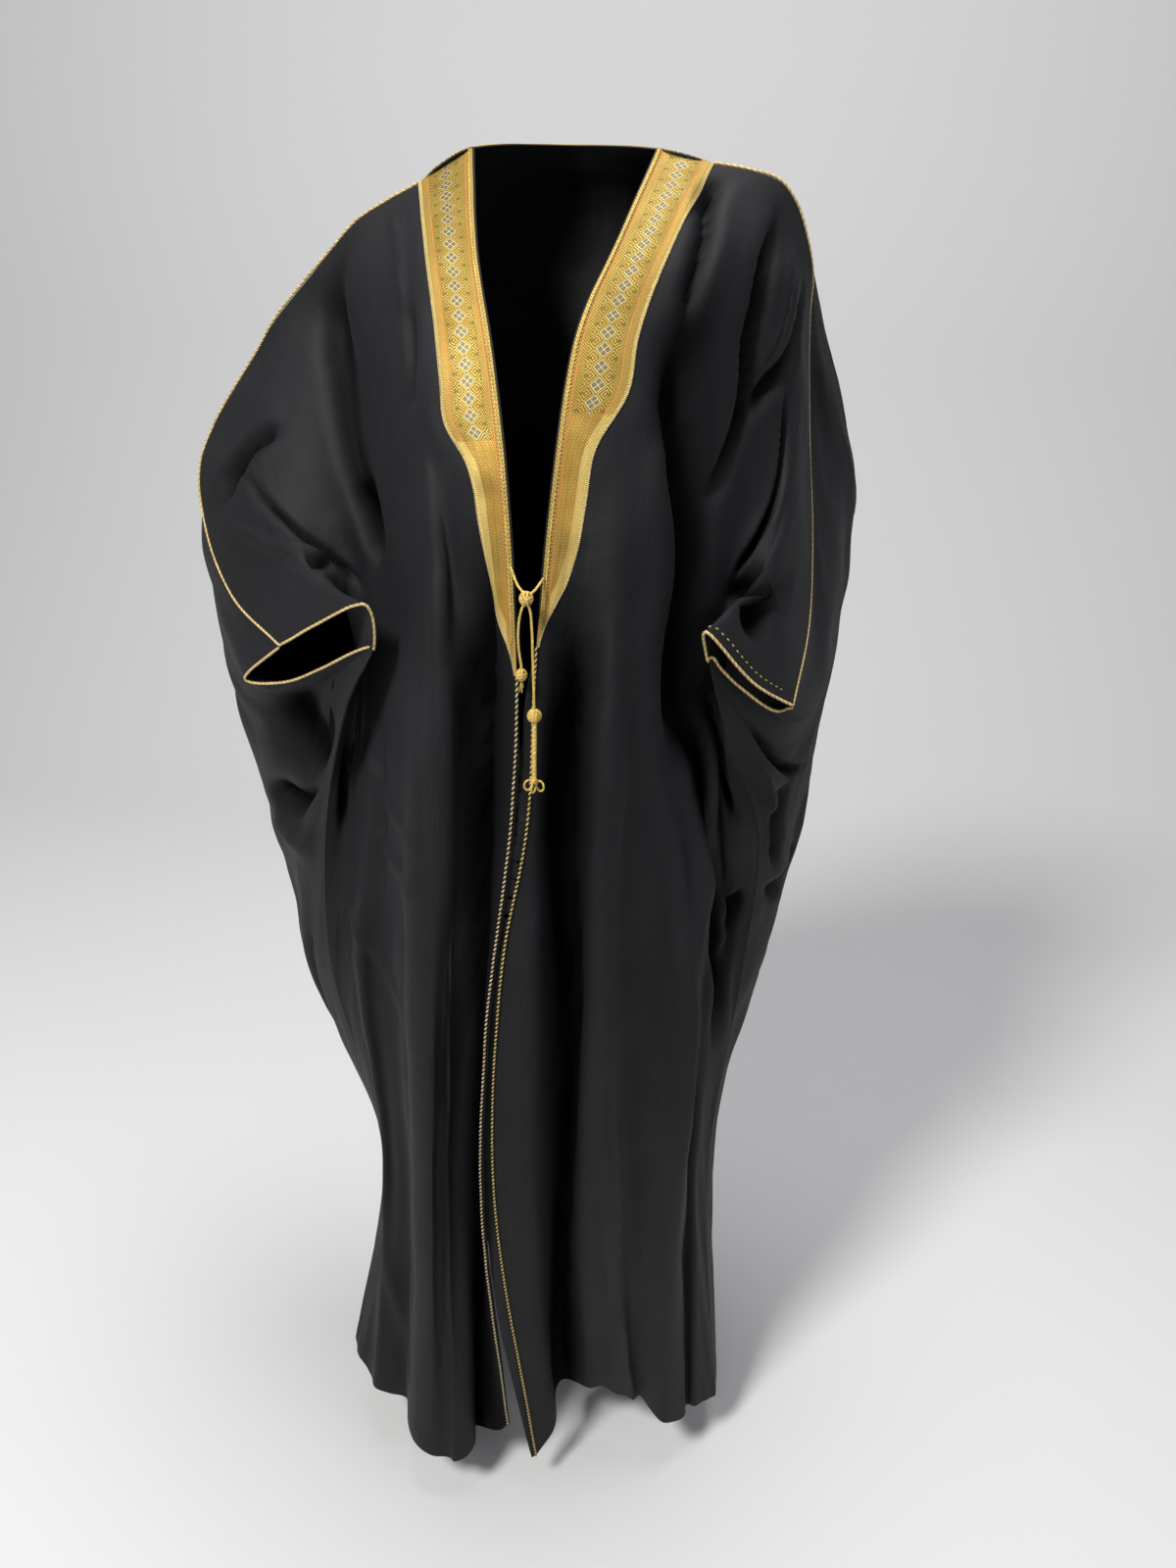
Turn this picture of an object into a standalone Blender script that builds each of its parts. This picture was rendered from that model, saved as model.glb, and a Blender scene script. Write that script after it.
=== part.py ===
# Bisht cloak, worn pose, built as cut-and-sewn panels. Metres, +Z up, front faces -Y,
# +X is the wearer's left. Origin: centre of the neck opening at shoulder level.
import math
import bmesh
import bpy
import numpy as np

for ob in list(bpy.data.objects):
    bpy.data.objects.remove(ob, do_unlink=True)

# ---------------------------------------------------------------- dimensions
WALL = 0.0012          # cloth
BAND = 0.0010          # gold woven band
GAP = 0.0003           # between pieces
PIPE_R = 0.0016        # seam, cuff and front-edge piping
TIE_R = 0.0013         # tie cord
ROWS = 30              # rows from top seam to hem
TIP = 12               # row of the band's lower tip
UNDER = 9              # row of the under corner of the cuff
BCOLS = 4              # columns under the band
SCOLS = 12             # columns from band to cuff / side seam

S_KN = [0.0, 0.10, 0.25, 0.42, 0.60, 0.80, 0.90, 1.0]
R_KN = [0, 3, 6, 9, 12, 16, 20, 25, 30]

# each line runs from the top seam (row 0) down to the hem (row 30)
FRONT_R = [
    [(-.083, .000, .000), (-.062, -.090, -.090), (-.035, -.155, -.180), (-.014, -.200, -.300), (-.006, -.220, -.430), (-.012, -.222, -.585), (-.035, -.222, -.760), (-.0475, -.221, -1.050), (-.027, -.206, -1.398)],
    [(-.135, .000, -.030), (-.112, -.078, -.092), (-.086, -.145, -.190), (-.072, -.185, -.300), (-.062, -.205, -.430), (-.060, -.205, -.600), (-.072, -.205, -.780), (-.085, -.205, -1.060), (-.065, -.240, -1.415)],
    [(-.200, .012, -.062), (-.160, -.055, -.130), (-.120, -.125, -.215), (-.103, -.165, -.310), (-.095, -.190, -.440), (-.093, -.213, -.600), (-.097, -.222, -.780), (-.102, -.235, -1.060), (-.108, -.245, -1.415)],
    [(-.275, .030, -.128), (-.235, .000, -.170), (-.195, -.050, -.250), (-.165, -.088, -.365), (-.150, -.115, -.470), (-.150, -.140, -.620), (-.155, -.150, -.800), (-.150, -.165, -1.080), (-.155, -.205, -1.405)],
    [(-.345, .050, -.208), (-.300, -.010, -.240), (-.240, -.065, -.310), (-.195, -.055, -.390), (-.185, -.075, -.480), (-.185, -.105, -.640), (-.193, -.118, -.820), (-.180, -.130, -1.090), (-.192, -.175, -1.400)],
    [(-.397, .035, -.318), (-.335, -.045, -.325), (-.265, -.095, -.350), (-.205, -.080, -.408), (-.198, -.078, -.480), (-.208, -.088, -.650), (-.220, -.095, -.830), (-.190, -.107, -1.100), (-.220, -.152, -1.395)],
    [(-.358, -.027, -.403), (-.292, -.088, -.385), (-.220, -.130, -.378), (-.190, -.112, -.420), (-.198, -.098, -.488), (-.222, -.088, -.655), (-.235, -.087, -.835), (-.197, -.095, -1.105), (-.234, -.138, -1.390)],
    [(-.263, -.120, -.445), (-.212, -.146, -.412), (-.161, -.163, -.388), (-.158, -.152, -.434), (-.195, -.125, -.500), (-.238, -.095, -.655), (-.250, -.080, -.840), (-.203, -.080, -1.110), (-.243, -.120, -1.384)],
]
FRONT_L = [
    [(.083, .000, .000), (.058, -.088, -.078), (.030, -.150, -.155), (.016, -.192, -.285), (.009, -.213, -.405), (.002, -.222, -.575), (-.0245, -.221, -.745), (-.0355, -.215, -1.045), (.009, -.215, -1.436)],
    [(.135, .000, -.012), (.112, -.075, -.068), (.083, -.140, -.158), (.072, -.180, -.285), (.064, -.200, -.410), (.060, -.208, -.580), (.045, -.212, -.750), (.032, -.203, -1.042), (.052, -.142, -1.402)],
    [(.195, .020, -.025), (.165, -.050, -.090), (.135, -.110, -.180), (.118, -.155, -.290), (.108, -.180, -.410), (.100, -.200, -.580), (.090, -.210, -.750), (.088, -.208, -1.040), (.106, -.152, -1.392)],
    [(.227, .045, -.074), (.210, -.010, -.130), (.178, -.045, -.215), (.152, -.085, -.325), (.140, -.120, -.430), (.145, -.145, -.600), (.140, -.165, -.770), (.138, -.176, -1.050), (.150, -.160, -1.402)],
    [(.238, .078, -.162), (.236, .015, -.200), (.217, -.020, -.280), (.174, -.056, -.370), (.160, -.085, -.450), (.175, -.108, -.620), (.170, -.130, -.790), (.168, -.142, -1.060), (.184, -.160, -1.412)],
    [(.250, .075, -.280), (.242, .008, -.302), (.222, -.040, -.348), (.188, -.088, -.396), (.172, -.092, -.455), (.190, -.090, -.630), (.193, -.093, -.800), (.184, -.105, -1.080), (.205, -.140, -1.405)],
    [(.260, .010, -.400), (.240, -.056, -.378), (.211, -.105, -.374), (.176, -.121, -.406), (.172, -.112, -.478), (.202, -.087, -.635), (.205, -.080, -.810), (.190, -.090, -1.090), (.217, -.128, -1.410)],
    [(.242, -.120, -.477), (.201, -.150, -.445), (.158, -.168, -.396), (.160, -.152, -.428), (.183, -.130, -.512), (.222, -.088, -.640), (.216, -.072, -.820), (.196, -.078, -1.100), (.226, -.118, -1.415)],
]
BACK_R = [
    [(-.083, .000, .000), (-.080, .095, -.055), (-.078, .122, -.180), (-.075, .145, -.325), (-.072, .160, -.480), (-.068, .177, -.670), (-.062, .188, -.860), (-.055, .202, -1.140), (-.045, .225, -1.420)],
    [(-.135, .000, -.030), (-.130, .090, -.085), (-.125, .122, -.200), (-.120, .145, -.335), (-.115, .160, -.485), (-.110, .177, -.675), (-.100, .187, -.865), (-.085, .197, -1.140), (-.075, .215, -1.420)],
    [(-.200, .012, -.062), (-.205, .085, -.135), (-.210, .130, -.245), (-.210, .160, -.370), (-.205, .175, -.510), (-.195, .185, -.690), (-.180, .185, -.870), (-.155, .180, -1.140), (-.140, .195, -1.415)],
    [(-.275, .030, -.128), (-.305, .100, -.220), (-.320, .150, -.340), (-.320, .170, -.460), (-.310, .170, -.580), (-.290, .160, -.730), (-.265, .140, -.890), (-.215, .120, -1.140), (-.200, .130, -1.410)],
    [(-.345, .050, -.208), (-.385, .100, -.310), (-.398, .125, -.420), (-.395, .125, -.530), (-.380, .115, -.630), (-.346, .100, -.750), (-.312, .065, -.890), (-.228, .035, -1.140), (-.225, .050, -1.400)],
    [(-.397, .035, -.318), (-.408, .050, -.420), (-.402, .048, -.520), (-.382, .035, -.600), (-.352, .015, -.685), (-.325, .000, -.785), (-.313, -.005, -.900), (-.226, -.018, -1.130), (-.236, -.030, -1.395)],
    [(-.358, -.027, -.403), (-.372, -.008, -.472), (-.348, -.020, -.535), (-.300, -.048, -.555), (-.270, -.062, -.605), (-.276, -.058, -.705), (-.280, -.048, -.865), (-.214, -.052, -1.120), (-.241, -.080, -1.388)],
    [(-.263, -.120, -.445), (-.322, -.075, -.497), (-.262, -.098, -.489), (-.158, -.152, -.434), (-.195, -.125, -.500), (-.238, -.095, -.655), (-.250, -.080, -.840), (-.203, -.080, -1.110), (-.243, -.120, -1.384)],
]
BACK_C = [(.000, .062, .008), (.000, .112, -.050), (.000, .128, -.175), (.000, .146, -.322), (.000, .162, -.480), (.000, .180, -.670), (.000, .192, -.860), (.000, .207, -1.140), (.000, .230, -1.420)]
BACK_L = [
    [(.083, .000, .000), (.080, .095, -.055), (.078, .122, -.180), (.075, .145, -.325), (.072, .160, -.480), (.068, .177, -.670), (.062, .188, -.860), (.055, .202, -1.140), (.045, .225, -1.420)],
    [(.135, .000, -.012), (.130, .090, -.075), (.125, .122, -.195), (.120, .145, -.335), (.115, .160, -.485), (.110, .177, -.675), (.100, .187, -.865), (.085, .197, -1.140), (.075, .215, -1.420)],
    [(.195, .020, -.025), (.200, .100, -.100), (.215, .145, -.225), (.210, .170, -.355), (.200, .182, -.500), (.190, .187, -.680), (.175, .182, -.860), (.150, .175, -1.130), (.140, .190, -1.415)],
    [(.227, .045, -.074), (.252, .135, -.150), (.285, .200, -.280), (.280, .215, -.400), (.270, .205, -.520), (.250, .180, -.680), (.225, .150, -.860), (.190, .110, -1.120), (.190, .120, -1.415)],
    [(.238, .078, -.162), (.288, .158, -.250), (.315, .185, -.340), (.307, .180, -.440), (.293, .150, -.540), (.275, .110, -.680), (.245, .070, -.850), (.200, .030, -1.110), (.212, .025, -1.415)],
    [(.250, .075, -.280), (.290, .112, -.352), (.297, .110, -.440), (.290, .080, -.530), (.280, .050, -.600), (.270, .020, -.700), (.246, .000, -.850), (.205, -.020, -1.110), (.222, -.045, -1.418)],
    [(.260, .010, -.400), (.279, .004, -.475), (.273, -.012, -.532), (.256, -.036, -.560), (.247, -.050, -.600), (.246, -.048, -.680), (.232, -.044, -.835), (.203, -.048, -1.110), (.228, -.085, -1.420)],
    [(.242, -.120, -.477), (.224, -.116, -.484), (.188, -.132, -.456), (.160, -.152, -.428), (.183, -.130, -.512), (.222, -.088, -.640), (.216, -.072, -.820), (.196, -.078, -1.100), (.226, -.118, -1.415)],
]

# folds: (points (row, s), half width in s, height outward in metres)
FOLDS_FR = [
    ([(8, .13), (14, .13), (22, .13), (30, .15)], .045, -.016),
    ([(12, .30), (20, .31), (30, .30)], .050, .010),
    ([(14, .52), (22, .50), (30, .48)], .050, -.014),
    ([(16, .66), (23, .66), (30, .64)], .050, .008),
    ([(1, .70), (3, .82), (6, .90)], .035, -.009),
    ([(1, .56), (4, .62), (7, .66)], .035, -.010),
    ([(0, .36), (4, .40), (8, .40)], .040, -.012),
]
FOLDS_FL = [
    ([(1, .22), (5, .20), (9, .22)], .040, -.010),
    ([(10, .15), (18, .14), (30, .12)], .040, -.008),
    ([(12, .34), (20, .34), (30, .33)], .050, .009),
    ([(13, .53), (22, .52), (30, .50)], .045, -.014),
    ([(18, .70), (24, .68), (30, .68)], .045, .008),
    ([(1, .50), (4, .52), (8, .50)], .040, -.012),
    ([(2, .78), (5, .84), (7, .92)], .035, -.007),
]
FOLDS_B = [
    ([(6, 0.0), (16, .00), (30, .00)], .060, -.010),
    ([(22, .80), (23, .80)], .22, -.020),
    ([(8, .17), (18, .16), (30, .16)], .045, .010),
    ([(8, -.17), (18, -.16), (30, -.16)], .045, .010),
    ([(7, .34), (18, .36), (30, .34)], .050, -.014),
    ([(7, -.34), (18, -.36), (30, -.34)], .050, -.014),
    ([(6, .66), (14, .62), (24, .58), (30, .56)], .050, -.012),
    ([(6, -.66), (14, -.62), (24, -.58), (30, -.56)], .050, -.012),
    ([(8, .88), (12, .84), (18, .78), (30, .76)], .040, -.010),
    ([(4, -.92), (10, -.84), (18, -.78), (30, -.76)], .040, -.010),
]


def spline(kn, pts, x):
    """Cubic curve through pts at knots kn, evaluated at x."""
    kn = np.asarray(kn, float)
    pts = np.asarray(pts, float)
    x = np.clip(np.asarray(x, float), kn[0], kn[-1])
    tan = np.zeros_like(pts)
    for i in range(len(kn)):
        a, b = max(i - 1, 0), min(i + 1, len(kn) - 1)
        if 0 < i < len(kn) - 1:
            h0, h1 = kn[i] - kn[i - 1], kn[i + 1] - kn[i]
            s0, s1 = (pts[i] - pts[i - 1]) / h0, (pts[i + 1] - pts[i]) / h1
            tan[i] = (s0 * h1 + s1 * h0) / (h0 + h1)
        else:
            tan[i] = (pts[b] - pts[a]) / (kn[b] - kn[a])
    k = np.clip(np.searchsorted(kn, x, side='right') - 1, 0, len(kn) - 2)
    h = kn[k + 1] - kn[k]
    t = (x - kn[k]) / h
    sh = (-1,) + (1,) * (pts.ndim - 1)
    t, h = t.reshape(sh), h.reshape(sh)
    return ((2 * t**3 - 3 * t**2 + 1) * pts[k] + (t**3 - 2 * t**2 + t) * h * tan[k]
            + (3 * t**2 - 2 * t**3) * pts[k + 1] + (t**3 - t**2) * h * tan[k + 1])


def normals(g, sign):
    du = np.gradient(g, axis=1)
    dv = np.gradient(g, axis=0)
    n = np.cross(du, dv) * sign
    return n / np.maximum(np.linalg.norm(n, axis=2, keepdims=True), 1e-12)


def surface(lines, skn, smap, folds, sign):
    """smap[row][col] = s; gives the middle surface of a panel as grid[row][col]."""
    rows = np.arange(ROWS + 1)
    along = np.array([spline(R_KN, ln, rows) for ln in lines])
    g = np.array([spline(skn, along[:, r], smap[r]) for r in rows])
    n = normals(g, sign)
    d = np.zeros(g.shape[:2])
    for path, half, height in folds:
        pr = [p[0] for p in path]
        ps = [p[1] for p in path]
        for r in rows:
            if pr[0] - 2 <= r <= pr[-1] + 2:
                fade = min(1.0, max(0.0, (r - pr[0] + 2) / 4.0))
                if pr[-1] < ROWS:
                    fade *= min(1.0, max(0.0, (pr[-1] + 2 - r) / 4.0))
                c = np.interp(r, pr, ps)
                d[r] += height * fade * np.exp(-((smap[r] - c) / half) ** 2)
    d *= np.clip((1.0 - np.abs(smap)) / 0.06, 0, 1)
    return g + n * d[:, :, None]


def relax(g, r0, r1, c0, c1, times):
    """Ease a patch of the grid; its border stays."""
    for _ in range(times):
        m = (g[r0 - 1:r1 - 1, c0:c1] + g[r0 + 1:r1 + 1, c0:c1] + g[r0:r1, c0 - 1:c1 - 1] + g[r0:r1, c0 + 1:c1 + 1]) / 4
        g[r0:r1, c0:c1] = g[r0:r1, c0:c1] * .5 + m * .5


def band_s(r):
    """Where the outer edge of the band lies, in s, at a row."""
    return float(np.interp(r, [0, 7, 8, 10, TIP, TIP + 3, ROWS], [.100, .098, .058, .048, .014, .070, .100]))


def front_map():
    m = []
    for r in range(ROWS + 1):
        b = band_s(r)
        m.append(np.concatenate([np.linspace(0, b, BCOLS + 1), b + (1 - b) * np.arange(1, SCOLS + 1) / SCOLS]))
    return np.array(m)


def unit(v):
    return v / max(np.linalg.norm(v), 1e-12)


def material(name, colour, rough, metal):
    m = bpy.data.materials.new(name)
    m.use_nodes = True
    bsdf = m.node_tree.nodes['Principled BSDF']
    bsdf.inputs['Base Color'].default_value = (*colour, 1)
    bsdf.inputs['Roughness'].default_value = rough
    bsdf.inputs['Metallic'].default_value = metal
    m.diffuse_color = (*colour, 1)
    return m


CLOTH = ('black_cloth', (.018, .019, .024), .80, 0.0)
GOLD = ('gold_band', (.62, .40, .10), .45, .35)
PIPE = ('pale_gold_piping', (.72, .60, .32), .50, .20)
CORD = ('gold_cord', (.70, .50, .12), .42, .35)

root = bpy.data.objects.new('bisht', None)
bpy.context.collection.objects.link(root)


def place(ob, name, look):
    ob.data.materials.append(material(name + '_' + look[0], *look[1:]))
    ob.parent = root
    bpy.context.collection.objects.link(ob)
    return ob


def sheet(name, g, n, lo, hi, look):
    """Cloth: a triangulated grid on the outward offset (lo + hi) / 2, thickened by Solidify."""
    nr, nc = g.shape[:2]
    mid_g = g + n * ((lo + hi) / 2)
    bm = bmesh.new()
    v = [[bm.verts.new(mid_g[r, c]) for c in range(nc)] for r in range(nr)]
    flip = np.dot(np.cross(g[0, 1] - g[0, 0], g[1, 0] - g[0, 0]), n[0, 0]) < 0
    for r in range(nr - 1):
        for c in range(nc - 1):
            for f in ((v[r][c], v[r][c + 1], v[r + 1][c + 1]), (v[r][c], v[r + 1][c + 1], v[r + 1][c])):
                bm.faces.new(f[::-1] if flip else f)
    me = bpy.data.meshes.new(name)
    bm.to_mesh(me)
    bm.free()
    ob = place(bpy.data.objects.new(name, me), name, look)
    so = ob.modifiers.new('wall', 'SOLIDIFY')
    so.thickness = hi - lo
    so.offset = 0.0
    so.use_even_offset = False
    me.shade_smooth()
    me.set_sharp_from_angle(angle=math.radians(60))
    return ob


def cord(name, pts, rad, look, res=2, closed=False):
    cu = bpy.data.curves.new(name, 'CURVE')
    cu.dimensions = '3D'
    sp = cu.splines.new('POLY')
    sp.points.add(len(pts) - 1)
    for i, p in enumerate(pts):
        sp.points[i].co = (*p, 1)
    sp.use_cyclic_u = closed
    cu.bevel_depth = rad
    cu.bevel_resolution = res
    cu.use_fill_caps = not closed
    return place(bpy.data.objects.new(name, cu), name, look)


def ball(name, c, r, stretch=1.0, seg=10, rings=6):
    bm = bmesh.new()
    bmesh.ops.create_uvsphere(bm, u_segments=seg, v_segments=rings, radius=r)
    for v in bm.verts:
        v.co.z *= stretch
    me = bpy.data.meshes.new(name)
    bm.to_mesh(me)
    bm.free()
    me.shade_smooth()
    ob = place(bpy.data.objects.new(name, me), name, CORD)
    ob.location = c
    return ob


def ring(name, c, big, small, turn, seg=12):
    """Small cord loop hanging under a knot; turn = yaw of its plane."""
    pts = []
    for i in range(seg):
        a = 2 * math.pi * i / seg
        pts.append((big * math.cos(a), 0.0, big * 1.12 * math.sin(a)))
    ob = cord(name, pts, small, CORD, 2, True)
    ob.location = c
    ob.rotation_euler = (0, 0, turn)
    return ob


# ---------------------------------------------------------------- middle surfaces
fmap = front_map()
FR = surface(FRONT_R, S_KN, fmap, FOLDS_FR, 1)
FL = surface(FRONT_L, S_KN, fmap, FOLDS_FL, 1)

# the neck lies between s = -0.08 and +0.08 of the back: sides move out by NECK
NECK = 0.08
bk_kn = [-(s + NECK) for s in S_KN[::-1]] + [0.0] + [s + NECK for s in S_KN]
bk_lines = BACK_R[::-1] + [BACK_C] + BACK_L
side = .10 + .90 * np.arange(SCOLS + 1) / SCOLS + NECK
half = np.concatenate([[NECK / 3, 2 * NECK / 3, NECK, NECK + .05], side])
bmap_row = np.concatenate([-half[::-1], [0.0], half])
scale = 1.0 + NECK
BK = surface(bk_lines, np.array(bk_kn) / scale, np.tile(bmap_row / scale, (ROWS + 1, 1)), FOLDS_B, 1)

relax(FR, 1, 14, 9, FR.shape[1] - 1, 14)
relax(FL, 1, 14, 9, FL.shape[1] - 1, 14)
relax(BK, 3, 14, 1, 9, 2)
relax(BK, 7, 14, BK.shape[1] - 6, BK.shape[1] - 1, 1)
nFR, nFL, nBK = normals(FR, 1), normals(FL, 1), normals(BK, 1)
# outward means: fronts face -Y at the chest, the back faces +Y
if nFR[6, 8, 1] > 0:
    nFR = -nFR
if nFL[6, 8, 1] > 0:
    nFL = -nFL
if nBK[12, BK.shape[1] // 2, 1] < 0:
    nBK = -nBK

last = FR.shape[1] - 1
mid = (BK.shape[1] - 1) // 2


def back_col(side_sign, c):
    """Back column that meets front column c (c >= BCOLS) of a side."""
    k = mid + side_sign * (5 + (c - BCOLS))
    return k


def part_edges(F, side_sign):
    """Open the shared seams so that pieces stay clear of each other."""
    seam = {}
    pairs = []
    for c in range(0, last + 1):
        if c >= BCOLS:
            pairs.append(((0, c), (0, back_col(side_sign, c)), (1, 0)))
    for r in range(1, ROWS + 1):
        pairs.append(((r, last), (r, back_col(side_sign, last)), (0, -1)))
    new = []
    for fi, bi, step in pairs:
        S = F[fi].copy()
        if step == (1, 0):
            f = unit(F[fi[0] + 1, fi[1]] - S)
            b = unit(BK[bi[0] + 1, bi[1]] - S)
            g = PIPE_R + GAP + (.0012 if fi[1] == BCOLS else .0009)
            if fi[1] == last:
                f = unit(F[1, last - 1] - S)
                b = unit(BK[1, bi[1] - side_sign] - S)
        else:
            if fi[0] < UNDER:
                continue
            f = unit(F[fi[0], fi[1] - 1] - S)
            b = unit(BK[bi[0], bi[1] - side_sign] - S)
            g = .00085
        if step == (1, 0):
            t = unit(F[0, min(fi[1] + 1, last)] - F[0, fi[1] - 1])
        else:
            t = unit(F[min(fi[0] + 1, ROWS), last] - F[fi[0] - 1, last])
        f = unit(f - t * np.dot(f, t))
        b = unit(b - t * np.dot(b, t))
        d = unit(f - b)
        new.append((fi, bi, S, f, b, d, g))
    for fi, bi, S, f, b, d, g in new:
        F[fi] = S + d * g
        BK[bi] = S - d * g
        seam[fi] = (S, f, b, d)
    # neck zone: front columns under the band, back columns beside the neck
    for c in range(0, BCOLS):
        S = F[0, c].copy()
        F[0, c] = S + unit(F[1, c] - S) * .0034
    for k in (3, 4):
        j = mid + side_sign * k
        S = BK[0, j].copy()
        BK[0, j] = S + unit(BK[1, j] - S) * .0034
    return seam


seamR = part_edges(FR, -1)
seamL = part_edges(FL, 1)

nFR2, nFL2, nBK2 = normals(FR, 1), normals(FL, 1), normals(BK, 1)
if np.dot(nFR2[6, 8], nFR[6, 8]) < 0:
    nFR2 = -nFR2
if np.dot(nFL2[6, 8], nFL[6, 8]) < 0:
    nFL2 = -nFL2
if np.dot(nBK2[12, mid], nBK[12, mid]) < 0:
    nBK2 = -nBK2
nFR, nFL, nBK = nFR2, nFL2, nBK2

H = WALL / 2
sheet('front_right', FR, nFR, -H, H, CLOTH)
sheet('front_left', FL, nFL, -H, H, CLOTH)
sheet('back', BK, nBK, -H, H, CLOTH)

# ---------------------------------------------------------------- gold bands
B0, B1 = H + GAP, H + GAP + BAND
sheet('band_right', FR[:TIP + 1, :BCOLS + 1], nFR[:TIP + 1, :BCOLS + 1], B0, B1, GOLD)
sheet('band_left', FL[:TIP + 1, :BCOLS + 1], nFL[:TIP + 1, :BCOLS + 1], B0, B1, GOLD)
sheet('band_neck', BK[:3, mid - 5:mid + 6], nBK[:3, mid - 5:mid + 6], B0, B1, GOLD)


# ---------------------------------------------------------------- piping
def top_piping(name, F, seam):
    pts = []
    for c in range(BCOLS, last + 1):
        S, f, b, d = seam[(0, c)]
        out = f + b
        lean = np.linalg.norm(out) / 2
        pts.append(S - unit(out) * lean * .0026 if lean > .02 else S)
    # stop short at both ends
    pts[0] = pts[0] + unit(pts[1] - pts[0]) * .002
    pts[-1] = pts[-1] + unit(pts[-2] - pts[-1]) * .006
    return cord(name, pts, PIPE_R, PIPE)


top_piping('piping_top_right', FR, seamR)
top_piping('piping_top_left', FL, seamL)


def edge_cord(name, g, n, rows, col, inward, lift=0.0, trim0=0.0, trim1=0.0, rad=PIPE_R):
    pts = []
    for r in rows:
        e = g[r, col]
        t = unit(g[min(r + 1, ROWS), col] - g[max(r - 1, 0), col])
        o = e - g[r, inward]
        o = o - t * np.dot(o, t)
        o = o - n[r, col] * np.dot(o, n[r, col])
        pts.append(e + unit(o) * (rad + GAP + .0007) + n[r, col] * lift)
    pts[0] = pts[0] + unit(pts[1] - pts[0]) * trim0
    pts[-1] = pts[-1] + unit(pts[-2] - pts[-1]) * trim1
    return cord(name, pts, rad, PIPE)


cuff_rows = list(range(0, UNDER + 1))
edge_cord('piping_cuff_right_front', FR, nFR, cuff_rows, last, last - 1, .0002, .003, .003)
edge_cord('piping_cuff_left_front', FL, nFL, cuff_rows, last, last - 1, .0002, .003, .003)
jr, jl = back_col(-1, last), back_col(1, last)
edge_cord('piping_cuff_right_back', BK, nBK, cuff_rows[:-1], jr, jr + 1, .0002, .005, .002)
edge_cord('piping_cuff_left_back', BK, nBK, cuff_rows[:-1], jl, jl - 1, .0002, .005, .002)
front_rows = list(range(TIP, ROWS + 1))
edge_cord('cord_edge_right', FR, nFR, front_rows, 0, 1, 0.0, .001, .001)
edge_cord('cord_edge_left', FL, nFL, front_rows, 0, 1, 0.0, .001, .001)

# ---------------------------------------------------------------- tie
KNOT = np.array([.0030, -.2290, -.3580])
KNOT_R = .0058


def on_band(F, n, row, lift):
    i = int(row)
    w = row - i
    p = F[i, 0] * (1 - w) + F[i + 1, 0] * w
    q = F[i, 1] * (1 - w) + F[i + 1, 1] * w
    nn = unit(n[i, 0] * (1 - w) + n[i + 1, 0] * w)
    return p + (q - p) * .25 + nn * (B1 + GAP + lift)


def z_row(F, z):
    for i in range(ROWS):
        if F[i, 0, 2] >= z >= F[i + 1, 0, 2]:
            return i + (F[i, 0, 2] - z) / (F[i, 0, 2] - F[i + 1, 0, 2])
    return 0


def to_knot(name, start, sag):
    mid_p = (start + KNOT) / 2 + np.array([0, -.002, -sag])
    end = KNOT + unit(start - KNOT) * (KNOT_R + .0022)
    pts = [start, start * .55 + mid_p * .45 + np.array([0, -.0012, 0]), mid_p, end]
    return cord(name, pts, TIE_R, CORD)


to_knot('tie_cord_right', on_band(FR, nFR, z_row(FR, -.338), TIE_R + .0006), .001)
to_knot('tie_cord_left', on_band(FL, nFL, z_row(FL, -.346), TIE_R + .0006), .001)
ball('tie_knot', KNOT, KNOT_R, 1.15)

yk = -.2305
tail_r = [(-.0005, yk, -.3665), (-.0035, yk - .001, -.385), (-.0030, yk - .001, -.403), (-.0010, yk - .001, -.4185)]
cord('tie_tail_right', tail_r, TIE_R, CORD)
ball('tie_end_knot', (-.0008, yk - .001, -.4252), .0050, 1.2)
tail_l = [(.0062, yk, -.3665), (.0085, yk - .002, -.385), (.0095, yk - .0035, -.410), (.0105, yk - .0045, -.435), (.0110, yk - .005, -.4530)]
cord('tie_tail_left', tail_l, TIE_R, CORD)
ball('tie_ball_knot', (.0112, yk - .005, -.4608), .0062, 1.05, 12, 8)
cord('tie_braid', [(.0112, yk - .005, -.4688), (.0112, yk - .0052, -.485), (.0110, yk - .0052, -.500), (.0110, yk - .005, -.5190)], .0024, CORD)
ring('tie_loop_a', (.0060, yk - .005, -.5275), .0040, .0012, .5)
ring('tie_loop_b', (.0113, yk - .012, -.5275), .0040, .0012, 1.2)
ring('tie_loop_c', (.0165, yk - .005, -.5275), .0040, .0012, 2.6)
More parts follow.
